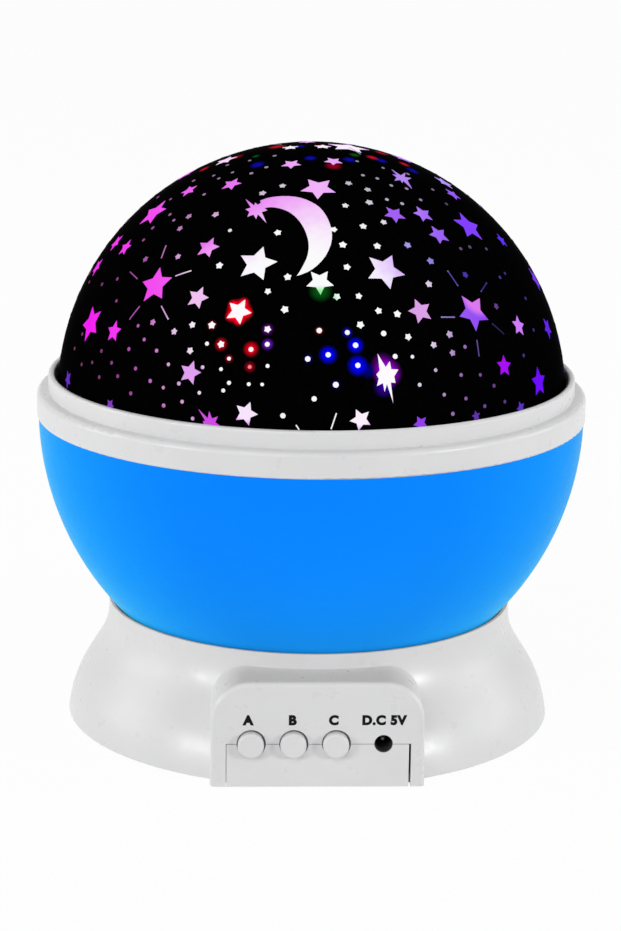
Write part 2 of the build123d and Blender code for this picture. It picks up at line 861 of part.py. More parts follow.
switch_front = board_front + switch_depth
flange_front = panel_inside - button_flange_gap
plunger_front = switch_front + switch_plunger_reach
for key, button_x in button_places.items():
    centre = (button_x, parting_height)

    with BuildPart() as switch_body:
        with BuildSketch(Plane.XZ.offset(board_front)):
            with Locations(centre):
                RectangleRounded(switch_size, switch_size, switch_round)
        extrude(amount=switch_depth)
        rods(
            [centre],
            switch_plunger_radius + switch_plunger_gap,
            switch_front,
            switch_front - switch_plunger_well,
            mode=Mode.SUBTRACT,
        )
    save(switch_body, f"switch_body_{key}")

    with BuildPart() as switch_plunger:
        rods([centre], switch_plunger_radius, plunger_front, switch_front - switch_plunger_hold)
    save(switch_plunger, f"switch_plunger_{key}")

    cap_centre = (button_x - button_sag, parting_height - button_sag)
    flange_back = flange_front - button_flange_thickness
    with BuildPart() as button:
        rods([cap_centre], button_radius, panel_front + button_stand_out, flange_back)
        fillet(button.edges().sort_by(Axis.Y)[0], radius=button_round)
        rods([cap_centre], button_radius + button_flange_step, flange_front, flange_back)
        rods([cap_centre], button_stem_radius, flange_back, plunger_front)
    save(button, f"button_{key}")

jack_front = panel_inside - dc_jack_gap
with BuildPart() as dc_jack:
    block(
        dc_place - dc_jack_width / 2,
        dc_place + dc_jack_width / 2,
        -jack_front,
        -board_front,
        parting_height - dc_jack_height / 2,
        parting_height + dc_jack_height / 2,
    )
    rods(
        [(dc_place, parting_height)],
        dc_bore_radius,
        jack_front,
        jack_front - dc_bore_depth,
        mode=Mode.SUBTRACT,
    )
save(dc_jack, "dc_jack")

with BuildPart() as dc_jack_pin:
    rods(
        [(dc_place, parting_height)],
        dc_pin_radius,
        jack_front - dc_pin_recess,
        jack_front - dc_bore_depth,
    )
    fillet(dc_jack_pin.edges().sort_by(Axis.Y)[0], radius=dc_pin_radius / 2)
save(dc_jack_pin, "dc_jack_pin")

# ================================================================ motor, gearbox and drive gear
gearbox_low = gearbox_top - gearbox_size[2]
with BuildPart() as gearbox_case:
    with BuildSketch(Plane.XY.offset(gearbox_low)):
        with Locations(gearbox_centre):
            RectangleRounded(gearbox_size[0], gearbox_size[1], gearbox_round)
    extrude(amount=gearbox_size[2])
    # An ear on the rear end takes the mounting screw.
    with BuildSketch(Plane.XY.offset(gearbox_top - gearbox_ear_thickness)):
        with Locations(*motor_screw_places):
            Circle(gearbox_ear_radius)
        with Locations((gearbox_ear_x, gearbox_back)):
            Rectangle(2 * gearbox_ear_radius, 2 * gearbox_ear_reach)
    extrude(amount=gearbox_ear_thickness)
    columns(
        motor_screw_places,
        motor_screw_radius + hole_gap,
        gearbox_top - gearbox_ear_thickness,
        gearbox_top,
        mode=Mode.SUBTRACT,
    )
    columns([drive_place], shaft_radius + shaft_running_gap, shaft_low, gearbox_top, mode=Mode.SUBTRACT)
save(gearbox_case, "gearbox_case")

screw_group(
    "gearbox_screw",
    Plane.XY.offset(gearbox_top - gearbox_ear_thickness),
    motor_screw_places,
    motor_screw_head_radius,
    motor_screw_head_height,
    motor_screw_radius,
    motor_screw_length,
    way=-1,
)

# The motor is a round can with two flats, lying along Y in front of its gearbox.
motor_back = -gearbox_front + motor_gap
with BuildPart() as motor_can:
    with BuildSketch(Plane.XZ.offset(motor_back)):
        with Locations((motor_x, motor_height)):
            Circle(motor_radius)
            Rectangle(2 * motor_radius, 2 * motor_flat, mode=Mode.INTERSECT)
    extrude(amount=motor_length)
    rods(
        [(motor_x, motor_height)],
        motor_rear_boss_radius,
        motor_back + motor_length + motor_rear_boss_length,
        motor_back + motor_length,
    )
save(motor_can, "motor_can")

with BuildPart() as output_shaft:
    columns([drive_place], shaft_radius, shaft_low, shaft_top)
save(output_shaft, "output_shaft")

drive_root_radius = drive_pitch_radius - gear_dedendum
drive_tip_radius = drive_pitch_radius + drive_addendum
drive_tooth = tooth(drive_pitch_radius, drive_root_radius - tooth_root_overlap, drive_tip_radius)
with BuildPart() as drive_gear:
    with BuildSketch(Plane.XY.offset(drive_gear_top - drive_gear_length)):
        with Locations(drive_place):
            Circle(drive_root_radius)
            with PolarLocations(0, drive_teeth):
                Polygon(*drive_tooth, align=None)
            Circle(shaft_radius + shaft_bore_gap, mode=Mode.SUBTRACT)
    extrude(amount=drive_gear_length)
save(drive_gear, "drive_gear")

# ================================================================ turning shade: bowl, gear, rings and dome
with BuildPart() as bowl:
    with BuildSketch(Plane.XZ) as bowl_section:
        with Locations((0, bowl_centre_height)):
            Ellipse(bowl_radius, bowl_depth)
            Ellipse(bowl_radius - bowl_wall, bowl_depth - bowl_wall, mode=Mode.SUBTRACT)
        with Locations((bowl_floor_radius - bowl_floor_inset, bowl_floor_height)):
            Rectangle(
                bowl_floor_radius - bowl_floor_inset - bowl_bore_radius,
                bowl_floor_thickness,
                align=(Align.MAX, Align.MIN),
            )
        with Locations((bowl_bore_radius, bowl_floor_height)):
            Rectangle(
                bowl_radius,
                bowl_top_height - bowl_floor_height,
                align=(Align.MIN, Align.MIN),
                mode=Mode.INTERSECT,
            )
        # The step and the spigot that carry the rim ring and the dome's flange.
        with BuildLine():
            Polyline(
                (spigot_radius, spigot_top),
                (spigot_radius - spigot_wall, spigot_top),
                (spigot_radius - spigot_wall, bowl_top_height - spigot_root),
                (bowl_radius - bowl_wall / 2, bowl_top_height - spigot_root),
                (spigot_radius, bowl_top_height),
                close=True,
            )
        make_face()
    revolve(axis=Axis.Z)
    columns(
        on_circle(ring_screw_circle, range(0, 360, 360 // ring_screw_count)),
        ring_screw_radius + thread_gap,
        bowl_floor_height,
        ring_flange_low,
        mode=Mode.SUBTRACT,
    )
save(bowl, "bowl")

ring_tooth = tooth(ring_pitch_radius, ring_root_radius + tooth_root_overlap, ring_tip_radius)
with BuildPart() as ring_gear:
    with BuildSketch(Plane.XY.offset(ring_flange_top - ring_gear_flange_thickness - ring_gear_drop)):
        Circle(ring_outer_radius)
        Circle(ring_root_radius, mode=Mode.SUBTRACT)
        with PolarLocations(0, ring_teeth, start_angle=180 / ring_teeth):
            Polygon(*ring_tooth, align=None)
    extrude(amount=ring_gear_drop + ring_gear_flange_thickness)
    with BuildSketch(Plane.XY.offset(ring_flange_low)):
        Circle(ring_gear_flange_radius)
        Circle(ring_root_radius + ring_gear_wall / 2, mode=Mode.SUBTRACT)
    extrude(amount=ring_gear_flange_thickness)
    columns(
        on_circle(ring_screw_circle, range(0, 360, 360 // ring_screw_count)),
        ring_screw_radius + thread_gap,
        ring_flange_low,
        ring_flange_top,
        mode=Mode.SUBTRACT,
    )
save(ring_gear, "ring_gear")

screw_group(
    "ring_gear_screws",
    Plane.XY.offset(ring_flange_top),
    on_circle(ring_screw_circle, range(0, 360, 360 // ring_screw_count)),
    ring_screw_head_radius,
    ring_screw_head_height,
    ring_screw_radius,
    ring_screw_length,
)

with BuildPart() as bearing_ring:
    turned(
        [
            (bearing_inner_radius, deck_height),
            (bearing_outer_radius, deck_height),
            (bearing_outer_radius, deck_height + bearing_height),
            (bearing_inner_radius, deck_height + bearing_height),
        ]
    )
save(bearing_ring, "bearing_ring")

with BuildPart() as rim_ring:
    with BuildSketch(Plane.XZ) as rim_section:
        Polygon(
            (rim_bore_radius, bowl_top_height),
            (rim_radius, bowl_top_height),
            (rim_radius, rim_top_height),
            (ring_bore_radius, rim_top_height),
            (ring_bore_radius, rim_web_height),
            (rim_bore_radius, rim_web_height),
            align=None,
        )
        fillet(rim_section.vertices().group_by(Axis.X)[-1].sort_by(Axis.Y)[-1], radius=rim_round)
        fillet(rim_section.vertices().group_by(Axis.X)[-1].sort_by(Axis.Y)[0], radius=rim_edge_round)
    revolve(axis=Axis.Z)
save(rim_ring, "rim_ring")

with BuildPart() as dome_collar:
    with BuildSketch(Plane.XZ) as collar_section:
        with Locations((ring_bore_radius, rim_top_height)):
            Rectangle(collar_wall, collar_height, align=(Align.MIN, Align.MIN))
        fillet(collar_section.vertices().group_by(Axis.Y)[-1], radius=collar_round)
    revolve(axis=Axis.Z)
save(dome_collar, "dome_collar")

with BuildPart() as star_dome:
    with BuildSketch(Plane.XZ):
        with Locations((0, dome_centre_height)):
            Circle(dome_radius)
            Circle(dome_radius - dome_wall, mode=Mode.SUBTRACT)
        with Locations((0, dome_flange_low)):
            Rectangle(dome_radius, 2 * dome_radius, align=(Align.MIN, Align.MIN), mode=Mode.INTERSECT)
        with Locations((rim_bore_radius - dome_gap, dome_flange_low)):
            Rectangle(
                rim_bore_radius - dome_gap - dome_radius + dome_wall,
                dome_flange_thickness,
                align=(Align.MAX, Align.MIN),
            )
    revolve(axis=Axis.Z)
save(star_dome, "star_dome")

# ================================================================ hub, light tower and LED board
with BuildPart() as turntable_hub:
    with BuildSketch(Plane.XY.offset(deck_height)):
        Circle(hub_radius)
        Circle(hub_radius - hub_wall, mode=Mode.SUBTRACT)
        with Locations(*on_circle(hub_screw_circle, hub_screw_angles + tower_screw_angles)):
            Circle(hub_boss_radius)
        with Locations(*on_circle(hub_screw_circle, hub_screw_angles + tower_screw_angles)):
            Circle(hub_screw_radius + thread_gap, mode=Mode.SUBTRACT)
        with Locations(drive_place):
            Circle(drive_tip_radius + hub_pocket_gap, mode=Mode.SUBTRACT)
    extrude(amount=hub_top - deck_height)
save(turntable_hub, "turntable_hub")

screw_group(
    "hub_screws",
    Plane.XY.offset(deck_low),
    on_circle(hub_screw_circle, hub_screw_angles),
    hub_screw_head_radius,
    hub_screw_head_height,
    hub_screw_radius,
    hub_screw_length,
    way=-1,
)

led_screw_places = on_circle(led_screw_circle, led_screw_angles)
with BuildPart() as light_tower:
    turned(
        [
            (tower_foot_radius - tower_wall, hub_top),
            (tower_flange_radius, hub_top),
            (tower_flange_radius, tower_flange_top),
            (tower_foot_radius, tower_flange_top),
            (tower_head_radius, tower_head_height),
            (tower_wire_hole_radius, tower_head_height),
            (tower_wire_hole_radius, tower_head_height - tower_head_thickness),
            (tower_head_radius - tower_wall, tower_head_height - tower_head_thickness),
            (tower_foot_radius - tower_wall, tower_flange_top),
        ]
    )
    columns(led_screw_places, standoff_radius, tower_head_height - led_screw_length, led_board_low)
    columns(
        led_screw_places,
        hub_screw_radius + thread_gap,
        tower_head_height - led_screw_length,
        led_board_low,
        mode=Mode.SUBTRACT,
    )
    columns(
        on_circle(hub_screw_circle, tower_screw_angles),
        hub_screw_radius + hole_gap,
        hub_top,
        tower_flange_top,
        mode=Mode.SUBTRACT,
    )
save(light_tower, "light_tower")

screw_group(
    "tower_screws",
    Plane.XY.offset(tower_flange_top),
    on_circle(hub_screw_circle, tower_screw_angles),
    hub_screw_head_radius,
    hub_screw_head_height,
    hub_screw_radius,
    tower_screw_length,
)

with BuildPart() as led_board:
    columns([(0, 0)], led_board_radius, led_board_low, led_board_top)
    columns(led_screw_places, hub_screw_radius + hole_gap, led_board_low, led_board_top, mode=Mode.SUBTRACT)
save(led_board, "led_board")

screw_group(
    "led_board_screws",
    Plane.XY.offset(led_board_top),
    led_screw_places,
    hub_screw_head_radius,
    hub_screw_head_height,
    hub_screw_radius,
    led_screw_length,
)

for colour, led_angle in led_angles.items():
    led_place = on_circle(led_circle, [led_angle])
    with BuildPart() as led:
        columns(led_place, led_flange_radius, led_board_top, led_board_top + led_flange_height)
        columns(led_place, led_radius, led_board_top, led_board_top + led_body_height)
        with Locations((*led_place[0], led_board_top + led_body_height)):
            Sphere(led_radius)
    save(led, f"led_{colour}")

with BuildPart() as led_resistors:
    with BuildSketch(Plane.XY.offset(led_board_top)):
        with PolarLocations(resistor_circle, len(led_angles)):
            Rectangle(resistor_size[0], resistor_size[1])
    extrude(amount=resistor_size[2])
save(led_resistors, "led_resistors")

# ================================================================ wires held inside
wire_start = -board_back + wire_end_gap
duct_height = (bay_ceiling + bay_roof + deck_low) / 2
wire_group(
    "led_wires",
    [
        (
            [
                (wire_x, wire_start, parting_height),
                (wire_x, wire_start + led_wire_run, parting_height),
                (wire_x, bay_front - bay_wall - led_wire_bay_gap, duct_height),
                (wire_x, 0, duct_height),
                (wire_x, 0, led_board_low - wire_end_gap),
            ],
            led_wire_bends,
        )
        for wire_x in led_wire_places
    ],
)

motor_end = -(motor_back + motor_length) - wire_end_gap
wire_group(
    "motor_wires",
    [
        (
            [
                (board_x, wire_start, lead_height),
                (board_x, wire_start + motor_wire_run, lead_height),
                (bay_outer_half_width, motor_end - turn, motor_height),
                (motor_x + terminal, motor_end - turn, motor_height),
                (motor_x + terminal, motor_end, motor_height),
            ],
            motor_wire_bends,
        )
        for board_x, turn, terminal in zip(motor_wire_starts, motor_wire_turns, motor_wire_terminals)
    ],
)

slope_start = wire_start + battery_wire_run
wire_group(
    "battery_wires",
    [
        (
            [
                (board_x, wire_start, lead_height),
                (board_x, slope_start, lead_height),
                (bay_x, slope_start + battery_wire_slope, battery_height),
                (bay_x, bay_front - bay_wall - wire_end_gap, battery_height),
            ],
            battery_wire_bends,
        )
        for board_x, bay_x in zip(battery_wire_starts, battery_wire_ends)
    ],
)
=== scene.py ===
"""Studio scene of a star night light: a printed dome and a blue bowl that turn on a white base.

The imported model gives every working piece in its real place. This script dresses those pieces with
procedural finishes, adds the lit windows of the dome and the printed legends, and sets the lights and
the camera. Lengths are in metres unless a name ends in _mm.
"""

from __future__ import annotations

import logging
import math
import random
from dataclasses import dataclass, field
from enum import Enum
from typing import Iterable, Sequence

import bmesh  # noqa: E402
import bpy  # noqa: E402
from mathutils import Matrix, Vector  # noqa: E402

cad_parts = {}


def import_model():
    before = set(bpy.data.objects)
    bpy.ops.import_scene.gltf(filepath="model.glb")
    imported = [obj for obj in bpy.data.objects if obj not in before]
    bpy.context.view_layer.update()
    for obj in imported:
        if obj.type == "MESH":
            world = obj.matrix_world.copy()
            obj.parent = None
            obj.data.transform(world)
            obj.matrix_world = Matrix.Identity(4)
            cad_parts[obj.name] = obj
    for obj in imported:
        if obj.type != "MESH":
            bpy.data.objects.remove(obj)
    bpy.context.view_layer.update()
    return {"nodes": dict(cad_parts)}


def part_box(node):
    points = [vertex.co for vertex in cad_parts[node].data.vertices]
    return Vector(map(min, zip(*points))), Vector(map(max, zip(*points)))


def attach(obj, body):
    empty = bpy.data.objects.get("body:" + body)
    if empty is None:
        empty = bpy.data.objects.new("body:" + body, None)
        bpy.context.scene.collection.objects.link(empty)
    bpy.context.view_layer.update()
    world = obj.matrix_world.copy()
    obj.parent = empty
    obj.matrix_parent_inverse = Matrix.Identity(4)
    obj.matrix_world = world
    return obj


log = logging.getLogger("night_light")

MM = 0.001
Colour = tuple[float, float, float]
Pixel = tuple[float, float]
Flat = tuple[float, float]


def tone(red: float, green: float, blue: float) -> Colour:
    """Turns a display colour into the linear values that a shader takes.

    Args:
        red: Red, from 0 to 255.
        green: Green, from 0 to 255.
        blue: Blue, from 0 to 255.

    Returns:
        The colour in linear light, each part from 0 to 1.
    """
    linear = []
    for value in (red, green, blue):
        share = value / 255
        linear.append(share / 12.92 if share <= 0.04045 else ((share + 0.055) / 1.055) ** 2.4)
    return tuple(linear)


def rgba(colour: Colour) -> tuple[float, float, float, float]:
    """Returns the colour with a full alpha."""
    return (*colour, 1.0)


def shaded(colour: Colour, share: float) -> Colour:
    """Returns a share of the colour."""
    return tuple(share * part for part in colour)


def linked(name: str, mesh: bmesh.types.BMesh) -> bpy.types.Object:
    """Turns a draft mesh into an object of the scene, and frees the draft.

    Args:
        name: The object's name.
        mesh: The draft.

    Returns:
        The object.
    """
    data = bpy.data.meshes.new(name)
    mesh.to_mesh(data)
    mesh.free()
    piece = bpy.data.objects.new(name, data)
    bpy.context.scene.collection.objects.link(piece)
    return piece


def background_rays(tree: bpy.types.NodeTree) -> bpy.types.NodeSocket:
    """Finds the rays that should meet a plain white: straight, mirrored or through glass.

    Args:
        tree: The node tree that gets the nodes.

    Returns:
        A share of 1 on those rays and 0 on the others.
    """
    path = tree.nodes.new("ShaderNodeLightPath")
    seen = path.outputs["Is Camera Ray"]
    for ray in ("Is Glossy Ray", "Is Transmission Ray"):
        either = tree.nodes.new("ShaderNodeMath")
        either.operation = "MAXIMUM"
        tree.links.new(seen, either.inputs[0])
        tree.links.new(path.outputs[ray], either.inputs[1])
        seen = either.outputs["Value"]
    return seen


# ------------------------------------------------------------------------------------------ camera


@dataclass(frozen=True)
class Viewpoint:
    """The camera's place, and the rays that run from it through the picture.

    Attributes:
        place: Where the camera stands.
        aim: The point in the middle of its picture.
        roll: Turn about the line of sight, in radians, anticlockwise seen from behind the camera.
        width: Width of the picture in pixels.
        height: Height of the picture in pixels.
        focal: Focal length in pixels.
        sensor: Height of the sensor in millimetres.
    """

    place: Vector = Vector((-0.0271, -0.6252, 0.2179))
    aim: Vector = Vector((0.0, 0.0, 0.0581))
    roll: float = math.radians(0.77)
    width: int = 621
    height: int = 931
    focal: float = 2795.5
    sensor: float = 36.0

    def axes(self) -> tuple[Vector, Vector, Vector]:
        """Works out which way the camera is turned.

        Returns:
            Its right, up and forward directions.
        """
        forward = (self.aim - self.place).normalized()
        level = forward.cross(Vector((0, 0, 1))).normalized()
        above = level.cross(forward)
        right = level * math.cos(self.roll) + above * math.sin(self.roll)
        up = above * math.cos(self.roll) - level * math.sin(self.roll)
        return right, up, forward

    def ray(self, pixel: Pixel) -> Vector:
        """Returns the direction that the camera sees through a pixel.

        Args:
            pixel: The pixel's column and row, from the top left corner.

        Returns:
            A unit vector.
        """
        right, up, forward = self.axes()
        across = (pixel[0] - self.width / 2) / self.focal
        down = (pixel[1] - self.height / 2) / self.focal
        return (forward + right * across - up * down).normalized()

    def build(self) -> bpy.types.Object:
        """Makes the camera and hands it to the scene.

        Returns:
            The camera.
        """
        data = bpy.data.cameras.new("camera")
        data.sensor_fit = "VERTICAL"
        data.sensor_height = self.sensor
        data.lens = self.focal * self.sensor / self.height
        data.clip_start = 0.01
        data.clip_end = 20
        camera = bpy.data.objects.new("camera", data)
        right, up, forward = self.axes()
        turn = Matrix((right, up, -forward)).transposed().to_4x4()
        camera.matrix_world = Matrix.Translation(self.place) @ turn
        bpy.context.scene.collection.objects.link(camera)
        bpy.context.scene.camera = camera
        return camera


# ---------------------------------------------------------------------------------- node graphs

# The part of a noise's range that most of it fills.
NOISE_BAND = (0.3, 0.7)


class Graph:
    """A material's node tree, with short calls to add nodes and join them."""

    def __init__(self, name: str) -> None:
        """Starts a material that holds a Principled shader.

        Args:
            name: The material's name.
        """
        self.material = bpy.data.materials.new(name)
        self.material.use_nodes = True
        self.tree = self.material.node_tree
        self.shader = self.tree.nodes["Principled BSDF"]

    def add(self, kind: str, **settings: object) -> bpy.types.Node:
        """Adds a node and sets its options.

        Args:
            kind: The node's type without the ShaderNode prefix.
            settings: Options of the node, by name.

        Returns:
            The new node.
        """
        node = self.tree.nodes.new("ShaderNode" + kind)
        for option, value in settings.items():
            setattr(node, option, value)
        return node

    def join(self, source: bpy.types.NodeSocket, target: bpy.types.NodeSocket) -> None:
        """Links an output to an input."""
        self.tree.links.new(source, target)

    def put(self, **values: object) -> None:
        """Sets constants on the shader's own sockets, with underscores for the spaces in their names."""
        for socket, value in values.items():
            self.shader.inputs[socket.replace("_", " ")].default_value = value

    def place(self) -> bpy.types.NodeSocket:
        """Returns each point's place in the object's own metres."""
        return self.add("TexCoord").outputs["Object"]

    def noise(self, scale: float, detail: float = 3.0, rough: float = 0.55) -> bpy.types.NodeSocket:
        """Adds a noise over the object's own metres.

        Args:
            scale: Features for each metre.
            detail: Octaves of finer noise.
            rough: How much the finer octaves weigh.

        Returns:
            The noise, from 0 to 1.
        """
        node = self.add("TexNoise")
        node.inputs["Scale"].default_value = scale
        node.inputs["Detail"].default_value = detail
        node.inputs["Roughness"].default_value = rough
        self.join(self.place(), node.inputs["Vector"])
        return node.outputs["Fac"]

    def ramp(
        self, source: bpy.types.NodeSocket, stops: Sequence[tuple[float, Colour]]
    ) -> bpy.types.NodeSocket:
        """Adds a colour ramp that is read at a value.

        Args:
            source: The value, from 0 to 1.
            stops: Places on the ramp and their colours, in order.

        Returns:
            The colour.
        """
        node = self.add("ValToRGB")
        band = node.color_ramp
        while len(band.elements) < len(stops):
            band.elements.new(0.5)
        for element, (at, colour) in zip(band.elements, stops):
            element.position = at
            element.color = rgba(colour)
        self.join(source, node.inputs["Fac"])
        return node.outputs["Color"]

    def spread(
        self, source: bpy.types.NodeSocket, low: float, high: float, first: float = 0.0, last: float = 1.0
    ) -> bpy.types.NodeSocket:
        """Maps a value from one range to another with soft ends.

        Args:
            source: The value.
            low: Start of its range.
            high: End of its range.
            first: What the start becomes.
            last: What the end becomes.

        Returns:
            The mapped value.
        """
        node = self.add("MapRange", interpolation_type="SMOOTHSTEP")
        for socket, value in zip(("From Min", "From Max", "To Min", "To Max"), (low, high, first, last)):
            node.inputs[socket].default_value = value
        self.join(source, node.inputs["Value"])
        return node.outputs["Result"]

    def distance(self, source: bpy.types.NodeSocket, point: Vector) -> bpy.types.NodeSocket:
        """Measures how far each place lies from a point.

        Args:
            source: The place.
            point: The point.

        Returns:
            The distance.
        """
        node = self.add("VectorMath", operation="DISTANCE")
        node.inputs[1].default_value = point
        self.join(source, node.inputs[0])
        return node.outputs["Value"]

    def blend(
        self, share: bpy.types.NodeSocket, under: bpy.types.NodeSocket, over: Colour
    ) -> bpy.types.NodeSocket:
        """Lays a plain colour over a varying one.

        Args:
            share: How much of the plain colour shows, from 0 to 1.
            under: The varying colour.
            over: The plain colour.

        Returns:
            The mixed colour.
        """
        node = self.add("Mix", data_type="RGBA")
        self.join(share, node.inputs["Factor"])
        self.join(under, node.inputs["A"])
        node.inputs["B"].default_value = rgba(over)
        return next(out for out in node.outputs if out.type == "RGBA")

    def mottle(self, noise: bpy.types.NodeSocket, low: Colour, high: Colour) -> None:
        """Gives the surface a colour that wanders between two.

        Args:
            noise: The noise that it follows.
            low: The colour where the noise is low.
            high: The colour where it is high.
        """
        stops = list(zip(NOISE_BAND, (low, high)))
        self.join(self.ramp(noise, stops), self.shader.inputs["Base Color"])

    def wear(self, noise: bpy.types.NodeSocket, low: float, high: float) -> None:
        """Gives the surface a roughness that wanders between two.

        Args:
            noise: The noise that it follows.
            low: The roughness where the noise is low.
            high: The roughness where it is high.
        """
        self.join(self.spread(noise, *NOISE_BAND, low, high), self.shader.inputs["Roughness"])

    def bump(self, height: bpy.types.NodeSocket, depth: float, strength: float) -> None:
        """Raises the surface.

        Args:
            height: How high each place stands, from 0 to 1.
            depth: The real height of 1, in metres.
            strength: How much of it shows.
        """
        node = self.add("Bump")
        node.inputs["Distance"].default_value = depth
        node.inputs["Strength"].default_value = strength
        self.join(height, node.inputs["Height"])
        self.join(node.outputs["Normal"], self.shader.inputs["Normal"])


# ------------------------------------------------------------------------------------- finishes


@dataclass(frozen=True)
class Finish:
    """A surface finish, and the material slot that a piece with it belongs to.

    Attributes:
        name: The material's name.
        slot: The slot in the part's record; not used.
    """

    name: str
    slot: str

    def make(self) -> bpy.types.Material:
        """Builds the finish's material."""
        raise NotImplementedError

    def material(self) -> bpy.types.Material:
        """Returns the finish's material, which is built once."""
        return bpy.data.materials.get(self.name) or self.make()

    def dress(self, *pieces: bpy.types.Object) -> None:
        """Gives pieces this finish.

        Args:
            pieces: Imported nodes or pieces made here.
        """
        for piece in pieces:
            piece.data.materials.clear()
            piece.data.materials.append(self.material())


@dataclass(frozen=True)
class Moulding(Finish):
    """Moulded plastic with a faint texture from the tool.

    Attributes:
        light: The colour where the plastic is palest.
        deep: The colour where it is darkest.
        rough: The mean roughness.
        rough_swing: How far the roughness wanders from it.
        grain: Grains of the texture for each metre.
        relief: Depth of the texture in metres.
    """

    light: Colour = (0.8, 0.8, 0.8)
    deep: Colour = (0.78, 0.78, 0.78)
    rough: float = 0.42
    rough_swing: float = 0.05
    grain: float = 2200.0
    relief: float = 0.00001

    def make(self) -> bpy.types.Material:
        """Builds soft mottling, a roughness that varies and a fine grain.

        Returns:
            The material.
        """
        graph = Graph(self.name)
        graph.mottle(graph.noise(60.0), self.deep, self.light)
        graph.wear(graph.noise(260.0), self.rough - self.rough_swing, self.rough + self.rough_swing)
        graph.put(IOR=1.46)
        graph.bump(graph.noise(self.grain, 2.0), self.relief, 0.1)
        return graph.material


@dataclass(frozen=True)
class TintedShell(Finish):
    """Slightly clear plastic with an even emitted blue glow, which is painted light, and a soft sheen at its
    sides.

    Attributes:
        body: Colour of the plastic.
        glow: Colour of the painted glow that the bowl emits, though it holds no lamp.
        painted_glow_strength: How bright the painted glow is.
        sheen: Colour of the soft light along its silhouette.
    """

    body: Colour = (0.0, 0.168, 0.9)
    glow: Colour = (0.0, 0.14, 1.0)
    painted_glow_strength: float = 0.145
    sheen: Colour = (0.04, 0.86, 1.0)

    def make(self) -> bpy.types.Material:
        """Builds a clean body with a faint flow pattern, a low gloss and a tinted sheen.

        Returns:
            The material.
        """
        graph = Graph(self.name)
        graph.mottle(graph.noise(30.0, 2.0), shaded(self.body, 0.97), self.body)
        graph.wear(graph.noise(140.0), 0.24, 0.3)
        # The emission is painted light: an even blue glow that lifts the bowl where the lamps reach it less.
        graph.put(IOR=1.05, Emission_Color=rgba(self.glow), Emission_Strength=self.painted_glow_strength)
        graph.put(Sheen_Weight=0.7, Sheen_Roughness=0.65, Sheen_Tint=rgba(self.sheen))
        graph.bump(graph.noise(420.0, 2.0), 0.00001, 0.2)
        return graph.material


@dataclass(frozen=True)
class Halo:
    """Painted light that spills round a window of the dome, or one lamp's colour in a window.

    Attributes:
        place: Where it is centred, on the dome.
        reach: How far it spreads.
        colour: Its colour.
        core: The share of the reach over which it stays full.
    """

    place: Vector
    reach: float
    colour: Colour
    core: float = 0.2

    def share(self, graph: Graph) -> bpy.types.NodeSocket:
        """Returns how strong the light is at each place, from 0 to 1."""
        away = graph.distance(graph.place(), self.place)
        return graph.spread(away, self.core * self.reach, self.reach, 1.0, 0.0)


@dataclass(frozen=True)
class NightPrint(Finish):
    """The black print on the dome, with painted glow round the windows that the print itself emits.

    Attributes:
        halos: The painted glows round the windows.
        deep: The print's colour where it is darkest.
        light: The print's colour where it is palest.
    """

    halos: tuple[Halo, ...] = ()
    deep: Colour = (0.0004, 0.0004, 0.0005)
    light: Colour = (0.0008, 0.0008, 0.0009)

    def make(self) -> bpy.types.Material:
        """Builds a dense black with a low gloss and sums the halos as emitted light, a painted glow on the
        print.

        Returns:
            The material.
        """
        graph = Graph(self.name)
        grain = graph.noise(900.0)
        graph.mottle(grain, self.deep, self.light)
        graph.wear(grain, 0.34, 0.42)
        graph.put(IOR=1.004, Emission_Strength=1.0)
        # The halos are painted light: colour that the black print emits round the windows.
        total = None
        for halo in self.halos:
            light = graph.add("VectorMath", operation="SCALE")
            light.inputs[0].default_value = halo.colour
            graph.join(halo.share(graph), light.inputs["Scale"])
            if total is None:
                total = light.outputs["Vector"]
                continue
            both = graph.add("VectorMath", operation="ADD")
            graph.join(total, both.inputs[0])
            graph.join(light.outputs["Vector"], both.inputs[1])
            total = both.outputs["Vector"]
        if total is not None:
            graph.join(total, graph.shader.inputs["Emission Color"])
        return graph.material


